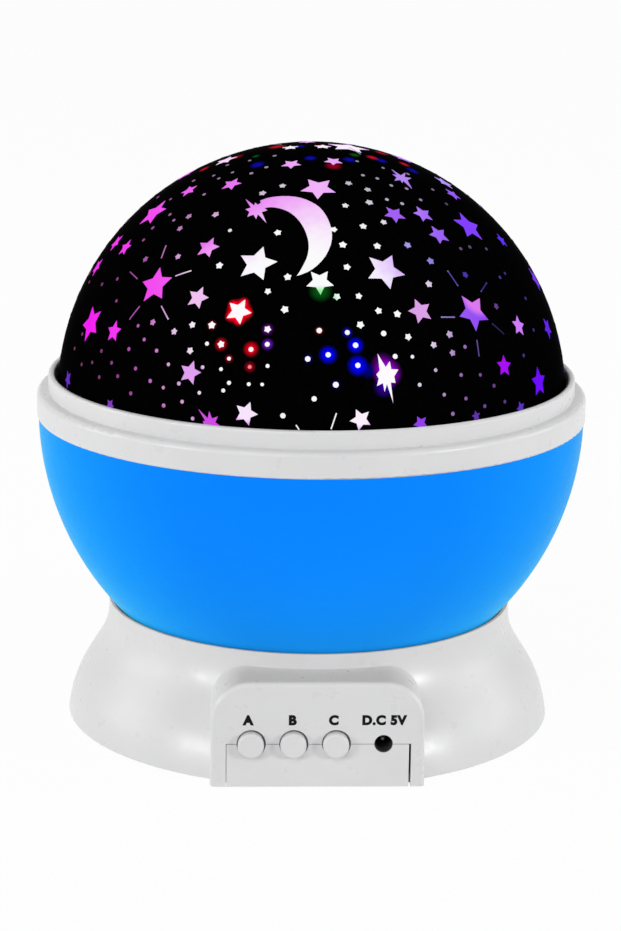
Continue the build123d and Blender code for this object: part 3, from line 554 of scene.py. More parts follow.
@dataclass(frozen=True)
class LitWindow(Finish):
    """A clear window in the print, lit from inside by coloured lamps.

    Attributes:
        colours: Places to the right of the middle, in millimetres, and the colours there.
        bright_spot: The place in front where the lamps' colours add up to white.
        white_reach: How far from the spot the windows stay white.
        fade_reach: How far from the spot the white has gone.
        dim_share: How bright the windows are far from the spot.
        dim_reach: How far from the spot they are as dim as that.
        tints: Places where one lamp's colour wins.
        mottling: How far the mottling shifts those distances.
    """

    colours: tuple[tuple[float, Colour], ...] = ()
    bright_spot: Vector = Vector((0, -0.058, 0.1))
    white_reach: float = 0.015
    fade_reach: float = 0.034
    dim_share: float = 1.0
    dim_reach: float = 0.05
    tints: tuple[Halo, ...] = ()
    mottling: float = 0.006

    def away(self, graph: Graph, parts: bpy.types.Node) -> bpy.types.NodeSocket:
        """Measures each place's distance from the bright spot, a little mottled.

        The lamps stand in the middle, so the back is lit as the front is.

        Args:
            graph: The finish's graph.
            parts: The node that gives the place's parts.

        Returns:
            The distance in metres.
        """
        depth = graph.add("Math", operation="ABSOLUTE")
        graph.join(parts.outputs["Y"], depth.inputs[0])
        folded = graph.add("CombineXYZ")
        graph.join(parts.outputs["X"], folded.inputs["X"])
        graph.join(depth.outputs["Value"], folded.inputs["Y"])
        graph.join(parts.outputs["Z"], folded.inputs["Z"])
        spot = Vector((self.bright_spot.x, abs(self.bright_spot.y), self.bright_spot.z))
        mottle = graph.add("Math", operation="MULTIPLY_ADD")
        mottle.inputs[1].default_value = self.mottling
        graph.join(graph.noise(420.0, 2.0), mottle.inputs[0])
        graph.join(graph.distance(folded.outputs["Vector"], spot), mottle.inputs[2])
        return mottle.outputs["Value"]

    def make(self) -> bpy.types.Material:
        """Builds the run of colours from side to side, whitened near the bright spot and dimmed far off.

        Returns:
            The material.
        """
        graph = Graph(self.name)
        parts = graph.add("SeparateXYZ")
        graph.join(graph.place(), parts.inputs["Vector"])
        first, last = self.colours[0][0], self.colours[-1][0]
        side = graph.add("MapRange")
        side.inputs["From Min"].default_value = first * MM
        side.inputs["From Max"].default_value = last * MM
        graph.join(parts.outputs["X"], side.inputs["Value"])
        stops = [((across - first) / (last - first), colour) for across, colour in self.colours]
        colour = graph.ramp(side.outputs["Result"], stops)

        away = self.away(graph, parts)
        white = graph.spread(away, self.white_reach, self.fade_reach, 1.0, 0.0)
        colour = graph.blend(white, colour, (0.96, 0.96, 0.97))
        for tint in self.tints:
            colour = graph.blend(tint.share(graph), colour, tint.colour)
        graph.join(colour, graph.shader.inputs["Emission Color"])
        bright = graph.spread(away, self.white_reach, self.dim_reach, 1.0, self.dim_share)
        graph.join(bright, graph.shader.inputs["Emission Strength"])
        graph.put(Base_Color=rgba((0.002, 0.002, 0.002)), Roughness=0.3, IOR=1.02)
        return graph.material


@dataclass(frozen=True)
class PlatedSteel(Finish):
    """Nickel-plated steel with fine drawn lines.

    Attributes:
        colour: Colour of the plating.
    """

    colour: Colour = (0.62, 0.61, 0.58)

    def make(self) -> bpy.types.Material:
        """Builds a metal whose roughness runs in fine lines.

        Returns:
            The material.
        """
        graph = Graph(self.name)
        graph.mottle(graph.noise(500.0), shaded(self.colour, 0.86), self.colour)
        wave = graph.add("TexWave", wave_type="BANDS", bands_direction="Z")
        wave.inputs["Scale"].default_value = 1500.0
        wave.inputs["Distortion"].default_value = 3.0
        graph.join(graph.place(), wave.inputs["Vector"])
        rough = graph.spread(wave.outputs["Fac"], 0.0, 1.0, 0.24, 0.38)
        graph.join(rough, graph.shader.inputs["Roughness"])
        graph.put(Metallic=1.0)
        return graph.material


@dataclass(frozen=True)
class SolderMask(Finish):
    """A circuit board's green mask over copper tracks."""

    def make(self) -> bpy.types.Material:
        """Builds a grid of paler tracks under the green.

        Returns:
            The material.
        """
        graph = Graph(self.name)
        brick = graph.add("TexBrick")
        brick.inputs["Scale"].default_value = 160.0
        brick.inputs["Mortar Size"].default_value = 0.035
        brick.inputs["Color1"].default_value = rgba(tone(22, 92, 48))
        brick.inputs["Color2"].default_value = rgba(tone(26, 104, 54))
        brick.inputs["Mortar"].default_value = rgba(tone(66, 150, 88))
        graph.join(graph.place(), brick.inputs["Vector"])
        graph.join(brick.outputs["Color"], graph.shader.inputs["Base Color"])
        graph.put(Roughness=0.35, IOR=1.5)
        graph.bump(brick.outputs["Fac"], 0.00003, 0.4)
        return graph.material


@dataclass(frozen=True)
class FootRubber(Finish):
    """Matt rubber with a dusty bloom."""

    def make(self) -> bpy.types.Material:
        """Builds a dark body with a paler, rough bloom.

        Returns:
            The material.
        """
        graph = Graph(self.name)
        bloom = graph.noise(700.0, 5.0)
        shades = [(0.35, tone(52, 52, 54)), (0.75, tone(78, 78, 80))]
        graph.join(graph.ramp(bloom, shades), graph.shader.inputs["Base Color"])
        graph.put(Roughness=0.85, IOR=1.4)
        graph.bump(bloom, 0.00005, 0.5)
        return graph.material


@dataclass(frozen=True)
class CellSleeve(Finish):
    """A battery cell's printed sleeve, with bare steel at its ends.

    Attributes:
        start: Where the cell's nub ends, along Y.
        end: Where its flat end is, along Y.
    """

    start: float = 0.0
    end: float = 0.044

    def make(self) -> bpy.types.Material:
        """Builds two bands of colour along the cell and steel past them.

        Returns:
            The material.
        """
        graph = Graph(self.name)
        parts = graph.add("SeparateXYZ")
        graph.join(graph.place(), parts.inputs["Vector"])
        along = graph.add("MapRange")
        along.inputs["From Min"].default_value = self.start
        along.inputs["From Max"].default_value = self.end
        graph.join(parts.outputs["Y"], along.inputs["Value"])
        steel, band, body = tone(190, 190, 188), tone(196, 140, 60), tone(44, 56, 96)
        stops = [(0.035, steel), (0.04, band), (0.24, band), (0.245, body), (0.975, body), (0.98, steel)]
        graph.join(graph.ramp(along.outputs["Result"], stops), graph.shader.inputs["Base Color"])
        graph.wear(graph.noise(300.0), 0.25, 0.34)
        graph.put(Metallic=0.4)
        return graph.material


@dataclass(frozen=True)
class Epoxy(Finish):
    """A lamp's cast epoxy, which glows when the light is on.

    Attributes:
        tint: Colour of the epoxy.
        light: Colour of the light.
    """

    tint: Colour = (0.9, 0.9, 0.9)
    light: Colour = (1.0, 1.0, 1.0)

    def make(self) -> bpy.types.Material:
        """Builds a clear-looking body that is brightest at its crown.

        Returns:
            The material.
        """
        graph = Graph(self.name)
        pale = tuple(min(1.0, part + 0.08) for part in self.tint)
        graph.mottle(graph.noise(600.0), self.tint, pale)
        graph.put(Roughness=0.12, IOR=1.52, Emission_Color=rgba(self.light), Emission_Strength=0.8)
        return graph.material


@dataclass(frozen=True)
class Insulation(Finish):
    """Soft wire insulation.

    Attributes:
        colour: Its colour.
    """

    colour: Colour = (0.4, 0.02, 0.02)

    def make(self) -> bpy.types.Material:
        """Builds a satin body that is slightly mottled.

        Returns:
            The material.
        """
        graph = Graph(self.name)
        graph.mottle(graph.noise(400.0), shaded(self.colour, 0.8), self.colour)
        graph.put(Roughness=0.5, IOR=1.5)
        graph.bump(graph.noise(1200.0), 0.00002, 0.3)
        return graph.material


@dataclass(frozen=True)
class PadInk(Finish):
    """Pad-printed ink with small breaks in its cover."""

    def make(self) -> bpy.types.Material:
        """Builds a near-black ink with a fine paler speckle.

        Returns:
            The material.
        """
        graph = Graph(self.name)
        speckle = graph.noise(5200.0, 2.0)
        shades = [(0.5, tone(7, 7, 8)), (0.85, tone(30, 30, 32))]
        graph.join(graph.ramp(speckle, shades), graph.shader.inputs["Base Color"])
        graph.put(Roughness=0.55, IOR=1.2)
        return graph.material


WHITE = Moulding("satin_white", "white_plastic", tone(216, 216, 217), tone(213, 213, 214), 0.32)
NATURAL = Moulding("natural_plastic", "natural_plastic", tone(232, 228, 214), tone(224, 219, 204))
BLACK = Moulding("black_plastic", "black_plastic", light=tone(40, 40, 42), deep=tone(30, 30, 31), rough=0.5)
BLUE = TintedShell("blue_shell", "blue_plastic")
STEEL = PlatedSteel("plated_steel", "screw_steel")
# Steel darkened to near black: painted shade for the socket's pin, which sits deep in its recess.
PIN_SHADE_STEEL = PlatedSteel("pin_shade_steel", "screw_steel", colour=(0.1, 0.1, 0.1))
MASK = SolderMask("solder_mask", "circuit_board")
RUBBER = FootRubber("foot_rubber", "foot_rubber")
WIRE = Insulation("red_insulation", "wire_insulation")
INK = PadInk("pad_ink", "white_plastic")


# ----------------------------------------------------------------------------------- flat shapes


@dataclass
class Patch:
    """A flat shape in millimetres, cut into faces small enough to lie on the dome.

    Attributes:
        points: Its corners.
        faces: Its faces, each as indices of its corners, anticlockwise.
    """

    points: list[Flat] = field(default_factory=list)
    faces: list[tuple[int, ...]] = field(default_factory=list)

    @classmethod
    def fan(cls, outline: Sequence[Flat], rings: int = 2) -> Patch:
        """Makes a shape from an outline round the origin.

        Args:
            outline: The outline's points, clockwise.
            rings: Rings of faces between the origin and the outline.

        Returns:
            The patch.
        """
        count = len(outline)
        patch = cls(points=[(0.0, 0.0)])
        for ring in range(1, rings + 1):
            patch.points += [(x * ring / rings, y * ring / rings) for x, y in outline]
        for step in range(count):
            here, after = 1 + step, 1 + (step + 1) % count
            patch.faces.append((0, after, here))
            for ring in range(1, rings):
                inner, outer = (ring - 1) * count, ring * count
                patch.faces.append((here + inner, after + inner, after + outer, here + outer))
        return patch

    @classmethod
    def rosette(cls, radii: Sequence[float], tilt: float = 0.0, rings: int = 2) -> Patch:
        """Makes a shape whose outline runs round a centre at even steps.

        Args:
            radii: The outline's distance from the centre, clockwise from the top.
            tilt: Turn of the whole shape, clockwise, in radians.
            rings: Rings of faces between the centre and the outline.

        Returns:
            The patch, with its centre at the origin.
        """
        angles = [tilt + math.tau * step / len(radii) for step in range(len(radii))]
        outline = [(reach * math.sin(angle), reach * math.cos(angle)) for reach, angle in zip(radii, angles)]
        return cls.fan(outline, rings)

    @classmethod
    def strip(cls, left: Sequence[Flat], right: Sequence[Flat], across: int = 1) -> Patch:
        """Makes a band between two lines of as many points.

        Args:
            left: One edge.
            right: The other edge, in the same order, on the right of the first.
            across: Faces from edge to edge.

        Returns:
            The patch.
        """
        patch = cls()
        for (x_left, y_left), (x_right, y_right) in zip(left, right):
            for step in range(across + 1):
                share = step / across
                point = (x_left + (x_right - x_left) * share, y_left + (y_right - y_left) * share)
                patch.points.append(point)
        row = across + 1
        for line in range(len(left) - 1):
            for step in range(across):
                low = line * row + step
                patch.faces.append((low, low + 1, low + row + 1, low + row))
        return patch


def star_radii(outer: float, inner: float, tips: int = 5) -> list[float]:
    """Returns the outline radii of a star, its tips' radius first and then its notches'."""
    return [outer, inner] * tips


def curve_through(points: Sequence[Flat], steps: int) -> list[Flat]:
    """Draws a smooth curve through a row of points.

    Args:
        points: The points that it passes.
        steps: How many pieces it is cut into.

    Returns:
        The points along it, one more than its pieces.
    """
    spans = len(points) - 1
    row = [points[0], *points, points[-1]]
    found = []
    for step in range(steps + 1):
        place = spans * step / steps
        span = min(int(place), spans - 1)
        t = place - span
        weights = (
            (-t + 2 * t**2 - t**3) / 2,
            (2 - 5 * t**2 + 3 * t**3) / 2,
            (t + 4 * t**2 - 3 * t**3) / 2,
            (t**3 - t**2) / 2,
        )
        near = row[span : span + 4]
        x, y = (sum(weight * point[axis] for weight, point in zip(weights, near)) for axis in (0, 1))
        found.append((x, y))
    return found


# ---------------------------------------------------------------------------------- dome chart


class Kind(Enum):
    """The kinds of window in the dome's print, by the name of their piece."""

    MOON = "dome_moon"
    STAR = "dome_stars"
    BURST = "dome_bursts"
    SMALL_STAR = "dome_small_stars"
    DISC = "dome_discs"
    DOT = "dome_dots"
    RAY = "dome_rays"


@dataclass(frozen=True)
class Chart:
    """A drawing of the dome as the camera sees it, which the windows are laid out on.

    Attributes:
        left: Column of the picture where the drawing starts.
        top: Row of the picture where it starts.
        scale: Units of the drawing for each pixel.
    """

    left: float = 60.0
    top: float = 130.0
    scale: float = 3.136

    def pixel(self, mark: Flat) -> Pixel:
        """Returns the picture's pixel under a mark on the drawing."""
        return self.left + mark[0] / self.scale, self.top + mark[1] / self.scale


# Each star: its centre and one tip, as marks on the chart.
STARS: tuple[tuple[Flat, Flat], ...] = (
    ((618, 419), (638, 366)),
    ((1020, 441), (1036, 499)),
    ((810, 182), (808, 217)),
    ((815, 476), (817, 517)),
    ((560, 569), (581, 532)),
    ((294, 260), (333, 247)),
    ((300, 486), (314, 431)),
    ((97, 606), (103, 554)),
    ((1281, 302), (1254, 260)),
    ((1297, 571), (1305, 631)),
    ((404, 190), (430, 175)),
    ((538, 170), (538, 187)),
    ((464, 369), (482, 338)),
    ((432, 526), (449, 492)),
    ((408, 761), (420, 724)),
    ((583, 889), (597, 853)),
    ((943, 908), (928, 876)),
    ((1130, 568), (1123, 606)),
    ((1049, 265), (1055, 291)),
    ((1138, 264), (1118, 240)),
    ((1188, 329), (1192, 357)),
    ((1232, 202), (1256, 216)),
    ((1385, 346), (1370, 325)),
    ((1438, 614), (1432, 582)),
    ((1393, 740), (1390, 706)),
    ((1502, 790), (1496, 743)),
    ((1529, 621), (1528, 596)),
    ((1490, 468), (1483, 447)),
    ((205, 369), (222, 344)),
    ((176, 353), (185, 334)),
    ((116, 430), (122, 412)),
    ((169, 632), (178, 598)),
    ((725, 107), (724, 121)),
    ((857, 98), (857, 110)),
    ((520, 95), (536, 84)),
    ((722, 55), (722, 50)),
    ((824, 52), (824, 47)),
    ((905, 54), (905, 46)),
    ((1131, 920), (1120, 898)),
    ((25, 782), (24, 755)),
    ((157, 862), (150, 846)),
    ((1445, 872), (1440, 852)),
    ((1305, 897), (1302, 880)),
    ((1204, 164), (1173, 147)),
)

# The crescent's outer and inner edges, from its upper horn to its lower one.
MOON_OUTER: tuple[Flat, ...] = (
    (628, 222), (650, 214), (680, 209), (717, 208), (754, 213), (788, 226), (814, 243), (834, 268),
    (847, 297), (853, 328), (849, 360), (832, 396), (806, 425), (777, 445), (744, 457),
)
MOON_MIDDLE: Flat = (760, 320)
MOON_INNER: tuple[Flat, ...] = (
    (636, 246), (660, 242), (690, 246), (720, 258), (746, 280), (765, 308), (777, 340), (780, 368),
    (775, 398), (761, 428), (744, 457),
)

# Each burst: its centre, its tips clockwise, and the reach of its body in millimetres.
BURSTS: tuple[tuple[Flat, tuple[Flat, ...], float], ...] = (
    (
        (616, 250),
        ((582, 217), (612, 228), (637, 224), (650, 252), (647, 291), (615, 279), (588, 272), (582, 249)),
        1.55,
    ),
    (
        (1023, 770),
        (
            (996, 702), (1034, 725), (1061, 751), (1052, 793), (1045, 856), (1018, 821), (994, 803),
            (992, 767),
        ),
        1.75,
    ),
    (
        (1072, 151),
        ((1040, 124), (1083, 134), (1101, 151), (1104, 185), (1073, 166), (1049, 159), (1043, 139)),
        1.3,
    ),
    (
        (470, 922),
        ((434, 875), (468, 882), (495, 898), (503, 928), (489, 946), (465, 950), (446, 940), (448, 914)),
        1.3,
    ),
)

# Each ray: its two ends.
RAYS: tuple[tuple[Flat, Flat], ...] = (
    ((318, 402), (333, 362)),
    ((220, 445), (243, 467)),
    ((362, 458), (412, 441)),
    ((218, 594), (250, 553)),
    ((318, 552), (340, 594)),
    ((1215, 441), (1248, 489)),
    ((1320, 507), (1338, 479)),
    ((1195, 587), (1238, 587)),
    ((1355, 607), (1392, 640)),
    ((1307, 658), (1314, 710)),
    ((740, 925), (750, 940)),
    ((867, 888), (850, 938)),
    ((905, 55), (942, 76)),
)

# Small five-pointed windows.
SMALL_STARS: tuple[Flat, ...] = (
    (683, 322), (500, 425), (714, 461), (652, 506), (705, 563), (887, 360), (900, 430), (868, 523),
    (937, 521), (999, 567), (1058, 577), (995, 364), (951, 302), (1015, 289), (895, 237), (970, 227),
    (965, 187), (905, 167), (698, 175), (635, 198), (488, 265), (404, 271), (376, 309), (268, 405),
    (370, 397), (651, 625), (942, 611), (1092, 649), (1157, 483), (1162, 411), (1090, 361), (1368, 553),
    (1271, 454), (291, 603), (358, 632), (415, 611), (476, 612), (408, 692), (505, 672), (1172, 674),
    (1222, 641), (1231, 699), (859, 312),
)

# Round windows, nearly as wide as the small stars.
DISCS: tuple[Flat, ...] = (
    (813, 629), (841, 705), (927, 675), (934, 738), (901, 635), (1015, 638), (1051, 710), (865, 799),
    (797, 843), (777, 718), (699, 896), (599, 688), (650, 672),
)

# Round windows, the smallest of the print.
DOTS: tuple[Flat, ...] = (
    (533, 315), (180, 467), (132, 484), (177, 536), (245, 614), (264, 657), (216, 687), (461, 670),
    (530, 717), (505, 750), (447, 744), (340, 735), (530, 793), (592, 797), (634, 798), (512, 817),
    (437, 824), (373, 795), (651, 740), (595, 743), (1105, 711), (1128, 799), (1178, 753), (1270, 680),
    (1318, 768), (1205, 830), (1258, 768), (1361, 802), (1395, 852), (1332, 866), (1273, 842), (1232, 890),
    (325, 864), (383, 852), (324, 808), (283, 787), (237, 748), (222, 826), (181, 772), (123, 775),
    (162, 730), (130, 693), (101, 729), (68, 735), (46, 685), (303, 692), (1380, 462), (1395, 450),
    (1485, 627), (1460, 528), (262, 345), (345, 265), (357, 283), (347, 217), (452, 202), (541, 133),
    (482, 143), (950, 142), (1039, 174), (995, 152), (1212, 232), (1285, 367), (1257, 372), (1025, 218),
    (1073, 231), (1131, 219), (600, 136), (92, 477), (416, 905), (70, 640), (1454, 707), (595, 96),
    (673, 81), (647, 117), (525, 110), (419, 159), (307, 211), (291, 307), (498, 152), (1013, 119),
    (1169, 187), (1091, 138), (1337, 373), (932, 98), (1087, 184),
)


@dataclass(frozen=True)
class Motif:
    """One window of the print.

    Attributes:
        kind: What it is.
        way: Direction from the dome's centre to the motif.
        up: Direction of the motif's top, across the dome.
        patch: Its flat shape in millimetres.
        reach: Radius of the circle that it fills, in millimetres.
    """

    kind: Kind
    way: Vector
    up: Vector
    patch: Patch
    reach: float

    def turned(self, angle: float) -> Motif:
        """Returns the same motif moved round the dome's upright axis by an angle in radians."""
        turn = Matrix.Rotation(angle, 3, "Z")
        return Motif(self.kind, turn @ self.way, turn @ self.up, self.patch, self.reach)


@dataclass
class NightSky:
    """The print on the dome: windows laid out on a chart of the front, and again behind.

    Attributes:
        centre: The dome's centre.
        radius: The dome's outer radius.
        lowest: Height under which the collar hides the print.
        view: The camera whose picture the chart covers.
        chart: The drawing's place in that picture.
        lift_mm: How far a window's face stands proud of the print.
        sink_mm: How far its sides reach into the dome.
        star_inner: Radius of a star's notches, as a share of its tips' radius.
        ray_width_mm: Width of a ray.
        ray_steps: Faces along a ray.
        pin_radii_mm: Radius of each kind of small window.
        pin_inner: Radius of a small star's notches, as a share of its tips' radius.
        pin_sizes: The least and the most that chance leaves of a small window's radius.
        pin_tilt: The most that chance turns one, in radians.
        pin_facets: Sides of a disc or a dot.
        moon_reach_mm: Radius of the circle that the crescent fills.
        moon_steps: Faces along the crescent.
        seed: Seed of the random turns, sizes and places.
        fill_tries: How many places are tried behind.
        fill_top: Height of the highest of them, as a share of the dome's radius.
        fill_stars: Share of small stars among them.
        fill_room_mm: Clear space that each needs.
        turned_room_mm: Clear space that each window of the turned front needs.
        front_limit: How much a place must face the camera to count as in front.
    """

    centre: Vector
    radius: float
    lowest: float
    view: Viewpoint
    chart: Chart = Chart()
    lift_mm: float = 0.05
    sink_mm: float = 0.25
    star_inner: float = 0.5
    ray_width_mm: float = 0.27
    ray_steps: int = 6
    pin_radii_mm: dict[Kind, float] = field(
        default_factory=lambda: {Kind.SMALL_STAR: 0.83, Kind.DISC: 0.57, Kind.DOT: 0.41}
    )
    pin_inner: float = 0.68
    pin_sizes: tuple[float, float] = (0.92, 1.1)
    pin_tilt: float = 1.2
    pin_facets: int = 12
    moon_reach_mm: float = 11.0
    moon_steps: int = 28
    seed: int = 5
    fill_tries: int = 2400
    fill_top: float = 0.995
    fill_stars: float = 0.35
    fill_room_mm: float = 2.4
    turned_room_mm: float = 0.3
    front_limit: float = 0.08

    def way(self, mark: Flat) -> Vector | None:
        """Finds the direction from the dome's centre to a mark on the chart.

        Args:
            mark: The mark.

        Returns:
            A unit vector, or None where the mark lies off the dome.
        """
        ray = self.view.ray(self.chart.pixel(mark))
        start = self.view.place - self.centre
        along = -start.dot(ray)
        inside = along * along - start.dot(start) + self.radius**2
        if inside < 0:
            return None
        return (start + ray * (along - math.sqrt(inside))).normalized()

    def edge(self, mark: Flat) -> Vector:
        """Finds the place on the dome's silhouette nearest to a mark beside the dome.

        Args:
            mark: The mark.

        Returns:
            The direction from the dome's centre to the place.
        """
        ray = self.view.ray(self.chart.pixel(mark))
        start = self.view.place - self.centre
        return (start - ray * start.dot(ray)).normalized()

    def place(self, mark: Flat) -> Vector:
        """Returns the place on the dome under a mark, or the nearest to it on the silhouette."""
        return self.centre + (self.way(mark) or self.edge(mark)) * self.radius

    @staticmethod
    def north(way: Vector) -> Vector:
        """Returns the direction across the dome, at a place, that climbs to the top."""
        east = Vector((0, 0, 1)).cross(way)
        return way.cross(east.normalized()) if east.length > 1e-4 else Vector((0, 1, 0))

    def flat(self, way: Vector, up: Vector, mark: Flat) -> Flat:
        """Lays a mark on the flat that touches the dome at a place near it.

        Args:
            way: The direction to the place.
            up: The direction on the flat that counts as up.
            mark: The mark.

        Returns:
            How far the mark lies to the right and up from the place, in millimetres.
        """
        seen = self.way(mark) or self.edge(mark)
        across = seen * (self.radius / seen.dot(way)) - way * self.radius
        return across.dot(up.cross(way)) / MM, across.dot(up) / MM

    def star(self, centre: Flat, tip: Flat) -> Motif | None:
        """Makes a star.

        Args:
            centre: The mark at its centre.
            tip: The mark at one of its tips.

        Returns:
            The star, or None where it lies off the dome.
        """
        way = self.way(centre)
        if way is None:
            return None
        north = self.north(way)
        x, y = self.flat(way, north, tip)
        reach = math.hypot(x, y)
        patch = Patch.rosette(star_radii(reach, reach * self.star_inner), math.atan2(x, y))
        return Motif(Kind.STAR, way, north, patch, reach)

    def burst(self, centre: Flat, tips: Sequence[Flat], body_mm: float) -> Motif | None:
        """Makes a burst, whose notches lie halfway between its tips.

        Args:
            centre: The mark at its centre.
            tips: The marks at its tips, clockwise.
            body_mm: How far its notches are from its centre.

        Returns:
            The burst, or None where it lies off the dome.
        """
        way = self.way(centre)
        if way is None:
            return None
        north = self.north(way)
        points = [self.flat(way, north, tip) for tip in tips]
        outline = []
        for (x, y), (x_next, y_next) in zip(points, points[1:] + points[:1]):
            middle = (x / math.hypot(x, y) + x_next / math.hypot(x_next, y_next)) / 2
            height = (y / math.hypot(x, y) + y_next / math.hypot(x_next, y_next)) / 2
            share = body_mm / math.hypot(middle, height)
            outline += [(x, y), (middle * share, height * share)]
        reach = max(math.hypot(x, y) for x, y in points)
        return Motif(Kind.BURST, way, north, Patch.fan(outline), reach)

    def ray_window(self, start: Flat, end: Flat) -> Motif | None:
        """Makes a thin ray between two marks.

        Args:
            start: The mark at one end.
            end: The mark at the other end.

        Returns:
            The ray, or None where it lies off the dome.
        """
        way = self.way(((start[0] + end[0]) / 2, (start[1] + end[1]) / 2))
        if way is None:
            return None
        north = self.north(way)
        (x_start, y_start), (x_end, y_end) = (self.flat(way, north, mark) for mark in (start, end))
        length = math.hypot(x_end - x_start, y_end - y_start)
        half = self.ray_width_mm / 2 / length
        x_aside, y_aside = (y_end - y_start) * half, (x_start - x_end) * half
        steps = self.ray_steps
        line = [
            (x_start + (x_end - x_start) * step / steps, y_start + (y_end - y_start) * step / steps)
            for step in range(steps + 1)
        ]
        left, right = ([(x + side * x_aside, y + side * y_aside) for x, y in line] for side in (-1, 1))
        return Motif(Kind.RAY, way, north, Patch.strip(right, left), length / 2)

    def moon(self) -> Motif:
        """Makes the crescent between its outer and inner edges.

        Returns:
            The crescent.
        """
        way = self.way(MOON_MIDDLE)
        north = self.north(way)
        outer = curve_through([self.flat(way, north, mark) for mark in MOON_OUTER], self.moon_steps)
        inner = curve_through([self.flat(way, north, mark) for mark in MOON_INNER], self.moon_steps)
        # The lower horn ends in an edge a tenth of a millimetre wide.
        inner[-1] = (inner[-1][0] - 0.1, inner[-1][1])
        return Motif(Kind.MOON, way, north, Patch.strip(inner, outer, across=4), self.moon_reach_mm)

    def small(self, kind: Kind, way: Vector, dice: random.Random) -> Motif:
        """Makes a small window, with its size and turn a little by chance.

        Args:
            kind: A small star, a disc or a dot.
            way: The direction to its place.
            dice: The random numbers.

        Returns:
            The window.
        """
        size = self.pin_radii_mm[kind] * dice.uniform(*self.pin_sizes)
        round_radii = [size] * self.pin_facets
        radii = star_radii(size, size * self.pin_inner) if kind is Kind.SMALL_STAR else round_radii
        tilt = dice.uniform(0, self.pin_tilt)
        return Motif(kind, way, self.north(way), Patch.rosette(radii, tilt, 1), size)

    def front(self, dice: random.Random) -> list[Motif]:
        """Lays out the windows that the chart shows.

        Args:
            dice: The random numbers.

        Returns:
            The windows.
        """
        found = [self.moon()]
        found += [self.star(*marks) for marks in STARS]
        found += [self.burst(*marks) for marks in BURSTS]
        found += [self.ray_window(*marks) for marks in RAYS]
        for kind, marks in ((Kind.SMALL_STAR, SMALL_STARS), (Kind.DISC, DISCS), (Kind.DOT, DOTS)):
            ways = [self.way(mark) for mark in marks]
            found += [self.small(kind, way, dice) for way in ways if way is not None]
        return [motif for motif in found if motif is not None]

    def clear(self, motif: Motif, others: Iterable[Motif], room_mm: float) -> bool:
        """Says whether a window stays clear of others.

        Args:
            motif: The window.
            others: The others.
            room_mm: The least room between them.

        Returns:
            Whether it does.
        """
        for other in others:
            apart = (motif.way - other.way).length * self.radius / MM
            if apart < motif.reach + other.reach + room_mm:
                return False
        return True

    def layout(self) -> list[Motif]:
        """Lays out the whole dome: the front, the same turned half round behind, and small fill.

        Returns:
            Every window.
        """
        dice = random.Random(self.seed)
        placed = self.front(dice)
        behind = [motif.turned(math.pi) for motif in placed]
        front = list(placed)
        placed += [motif for motif in behind if self.clear(motif, front, self.turned_room_mm)]
        floor = (self.lowest - self.centre.z) / self.radius
        for _ in range(self.fill_tries):
            angle, height = dice.uniform(0, math.tau), dice.uniform(floor, self.fill_top)
            level = math.sqrt(1 - height * height)
            way = Vector((level * math.cos(angle), level * math.sin(angle), height))
            kind = Kind.SMALL_STAR if dice.random() < self.fill_stars else Kind.DOT
            motif = self.small(kind, way, dice)
            if not self.seen_in_front(way) and self.clear(motif, placed, self.fill_room_mm):
                placed.append(motif)
        return placed

    def seen_in_front(self, way: Vector) -> bool:
        """Says whether a place is on the side that the chart already fills."""
        sight = (self.centre + way * self.radius - self.view.place).normalized()
        return way.dot(sight) < -self.front_limit

    def raise_windows(self, kind: Kind, motifs: Sequence[Motif]) -> bpy.types.Object:
        """Builds every window of one kind as closed, curved chips in the dome's face.

        Args:
            kind: The kind, which names the piece.
            motifs: The windows.

        Returns:
            The new piece.
        """
        mesh = bmesh.new()
        top, bottom = self.radius + self.lift_mm * MM, self.radius - self.sink_mm * MM
        for motif in motifs:
            right = motif.up.cross(motif.way)
            ways = []
            for x, y in motif.patch.points:
                way = motif.way * self.radius + right * (x * MM) + motif.up * (y * MM)
                ways.append(way.normalized())
            upper = [mesh.verts.new(self.centre + way * top) for way in ways]
            lower = [mesh.verts.new(self.centre + way * bottom) for way in ways]
            edges: dict[tuple[int, int], int] = {}
            for face in motif.patch.faces:
                mesh.faces.new([upper[i] for i in face])
                mesh.faces.new([lower[i] for i in reversed(face)])
                for i, j in zip(face, face[1:] + face[:1]):
                    edges[(i, j)] = edges.get((i, j), 0) + 1
            for i, j in edges:
                if (j, i) not in edges:
                    mesh.faces.new((upper[j], upper[i], lower[i], lower[j]))
        bmesh.ops.recalc_face_normals(mesh, faces=mesh.faces)
        return linked(kind.value, mesh)


# --------------------------------------------------------------------------------- sub-assemblies

RED = tone(225, 0, 28)
DIM_RED = tone(140, 0, 26)
FAR_RED = tone(182, 18, 36)
DEEP_BLUE = tone(0, 0, 250)
DIM_BLUE = tone(12, 10, 155)
GREEN = tone(6, 80, 18)
VIOLET = tone(150, 0, 205)
DIM_VIOLET = tone(96, 0, 130)
BURST_WHITE = tone(255, 250, 255)

# The star round whose tips a red glow is painted on the print: its middle on the chart, and the reach of the
# painted glow.
RED_STAR: tuple[Flat, float] = ((561, 569), 3.1)
